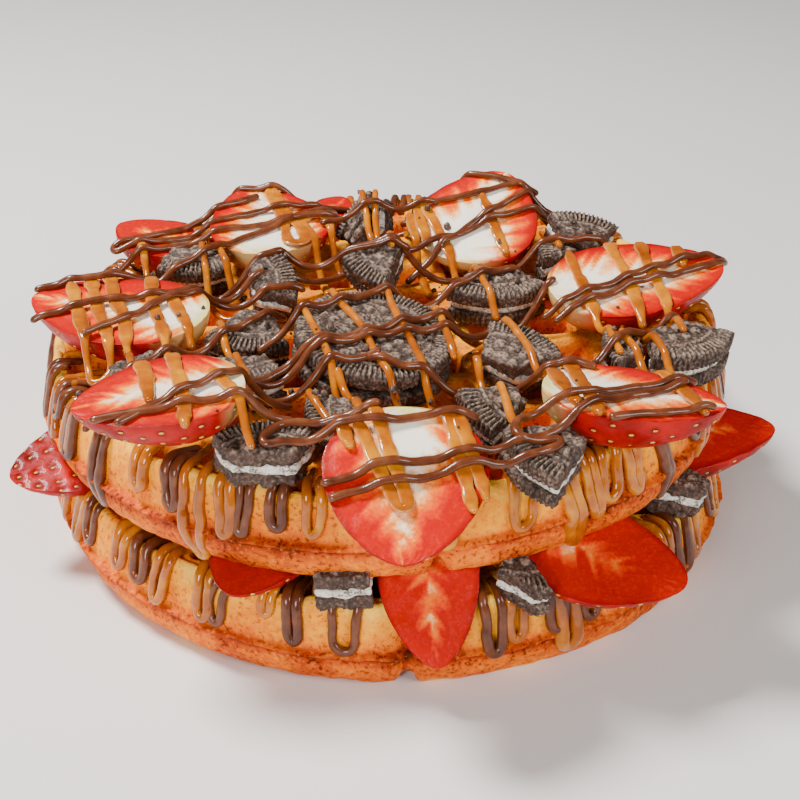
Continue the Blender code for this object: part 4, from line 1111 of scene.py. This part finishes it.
underSauce = [(0, upperWaffle)] + [(1, one) for one in cookieTop]
underSauce += [(2, one) for one in berryTop]
bed = treeOf(underSauce)
caramelStrands = strandsOver(caramelPasses, ss.caramelHeading, ss.caramelRadius, bed,
                             [ss.spreadOnWaffle, 0.0, ss.spreadOnFruit], 100)
caramelLoop, chocolateLoop = ss.loopRadius, ss.loopRadius * 0.95
caramelStrands += loopsOver(upperCaramelLoops + loopsBehind(5, 19, 3), caramelLoop, upperMatrix, 200)
caramelStrands += loopsOver(lowerCaramelLoops + loopsBehind(2, 22, 4), caramelLoop, lowerMatrix, 300)
allCaramel = joined(caramelStrands)
piece("caramelDrizzle", allCaramel, [caramel])
piece("caramelPools", pools(upperMatrix, ws.upperTurn, 9), [caramel])
bed = treeOf(underSauce + [(0, allCaramel)])
chocolateStrands = strandsOver(chocolatePasses, ss.chocolateHeading, ss.chocolateRadius, bed,
                               [0.05, 0.0, 0.1], 400)
chocolateStrands += loopsOver(upperChocolateLoops + loopsBehind(14, 24, 5), chocolateLoop, upperMatrix, 500)
chocolateStrands += loopsOver(lowerChocolateLoops + loopsBehind(11, 27, 6), chocolateLoop, lowerMatrix, 600)
allChocolate = joined(chocolateStrands)
piece("chocolateDrizzle", allChocolate, [chocolate])
print("sauces made:", len(allCaramel["quads"]) * 2, "and", len(allChocolate["quads"]) * 2, "triangles")


# Crumbs

crumbSizes = SimpleNamespace(count=260, small=0.35, large=1.25, near=6.0)


def crumbs(bed, seed):
    # Broken bits of wafer, rough balls that have come to rest near the cookies
    rng = np.random.default_rng(seed)
    homes = np.array([row[:2] for row in topCookies]) + shift[:2]
    turn, made = np.arange(7) / 7 * math.tau, []
    for index in range(crumbSizes.count):
        spin, far = rng.uniform(0, math.tau), rng.uniform(8.0, cs.radius + crumbSizes.near)
        place = homes[rng.integers(len(homes))] + far * np.array([math.cos(spin), math.sin(spin)])
        size = crumbSizes.small + (crumbSizes.large - crumbSizes.small) * rng.random() ** 3
        height, kind = bedUnder(place[None], bed)
        if height[0] < ws.upperAt[2] + ws.height - 10 or (kind[0] == 2 and index % 4):
            continue
        up = np.array([0.35, 1.1, 1.9, 2.7])[:, None]
        ball = stacked(np.sin(up) * np.cos(turn), np.sin(up) * np.sin(turn), np.cos(up))
        ball = ball * size * (1 + 0.5 * lumps(ball * 3, 1.7, index))[..., None]
        # raised gives each crumb a random share of the wafer's painted highlight
        marks = {"broken": 0.6, "raised": rng.random() * 0.5}
        made.append(skin(ball + [*place, height[0] + size * 0.6], marks))
    return joined(made)


piece("cookieCrumbs", crumbs(bed, 8), [wafer])
print("crumbs made")


# Camera, light and floor

photo = SimpleNamespace(lens=67.05, sensor=36.0, near=0.01, distance=452.6, elevation=29.0, roll=1.1,
                        target=(-0.7, 5.75, 30.5))
lightsFace = (0, 0, 0.04)       # the place that the lights point at, in metres


def addCamera():
    # The photograph's viewpoint: in front of the stack and above it, turned a little about its axis
    up, roll = math.radians(photo.elevation), math.radians(photo.roll)
    ahead = Vector((0, math.cos(up), -math.sin(up)))
    right, above = Vector((1, 0, 0)), Vector((0, math.sin(up), math.cos(up)))
    across = math.cos(roll) * right + math.sin(roll) * above
    upright = -math.sin(roll) * right + math.cos(roll) * above
    place = (Vector(photo.target) - ahead * photo.distance) * mm
    data = bpy.data.cameras.new("camera")
    data.lens, data.sensor_width, data.clip_start = photo.lens, photo.sensor, photo.near
    camera = linked("camera", data)
    camera.matrix_world = Matrix([(across[i], upright[i], -ahead[i], place[i]) for i in range(3)]
                                 + [(0, 0, 0, 1)])
    bpy.context.scene.camera = camera


def addLight(name, place, size, power, colour=(1, 1, 1)):
    # A round soft light, in metres and watts, that faces the stack
    data = bpy.data.lights.new(name, "AREA")
    data.shape, data.size, data.energy, data.color = "DISK", size, power, colour
    lamp = linked(name, data)
    lamp.location = place
    lamp.rotation_mode = "QUATERNION"
    lamp.rotation_quaternion = (Vector(lightsFace) - Vector(place)).to_track_quat("-Z", "Y")


def addFloor():
    # A pale square floor, 6 m across
    mesh = bpy.data.meshes.new("floor")
    half = 3.0
    corners = [(-half, -half, 0), (half, -half, 0), (half, half, 0), (-half, half, 0)]
    mesh.from_pydata(corners, [], [(0, 1, 2, 3)])
    mesh.materials.append(Finish("floorPaper", Roughness=0.8, Base_Color=tint("#E9E6E2")).material)
    linked("floor", mesh)


addCamera()
addLight("key", (-0.45, 0.1, 0.85), 0.25, 18.0, (1.0, 0.97, 0.94))
addLight("fill", (0.75, -0.65, 0.6), 0.5, 7.5)
addLight("front", (-0.4, -1.0, 0.4), 0.4, 8.5)
addFloor()
world = bpy.data.worlds.new("studio")
world.use_nodes = True
sky = world.node_tree.nodes["Background"]
sky.inputs["Color"].default_value = (1, 1, 1, 1)
sky.inputs["Strength"].default_value = 0.13
bpy.context.scene.world = world
print("camera and lights made")
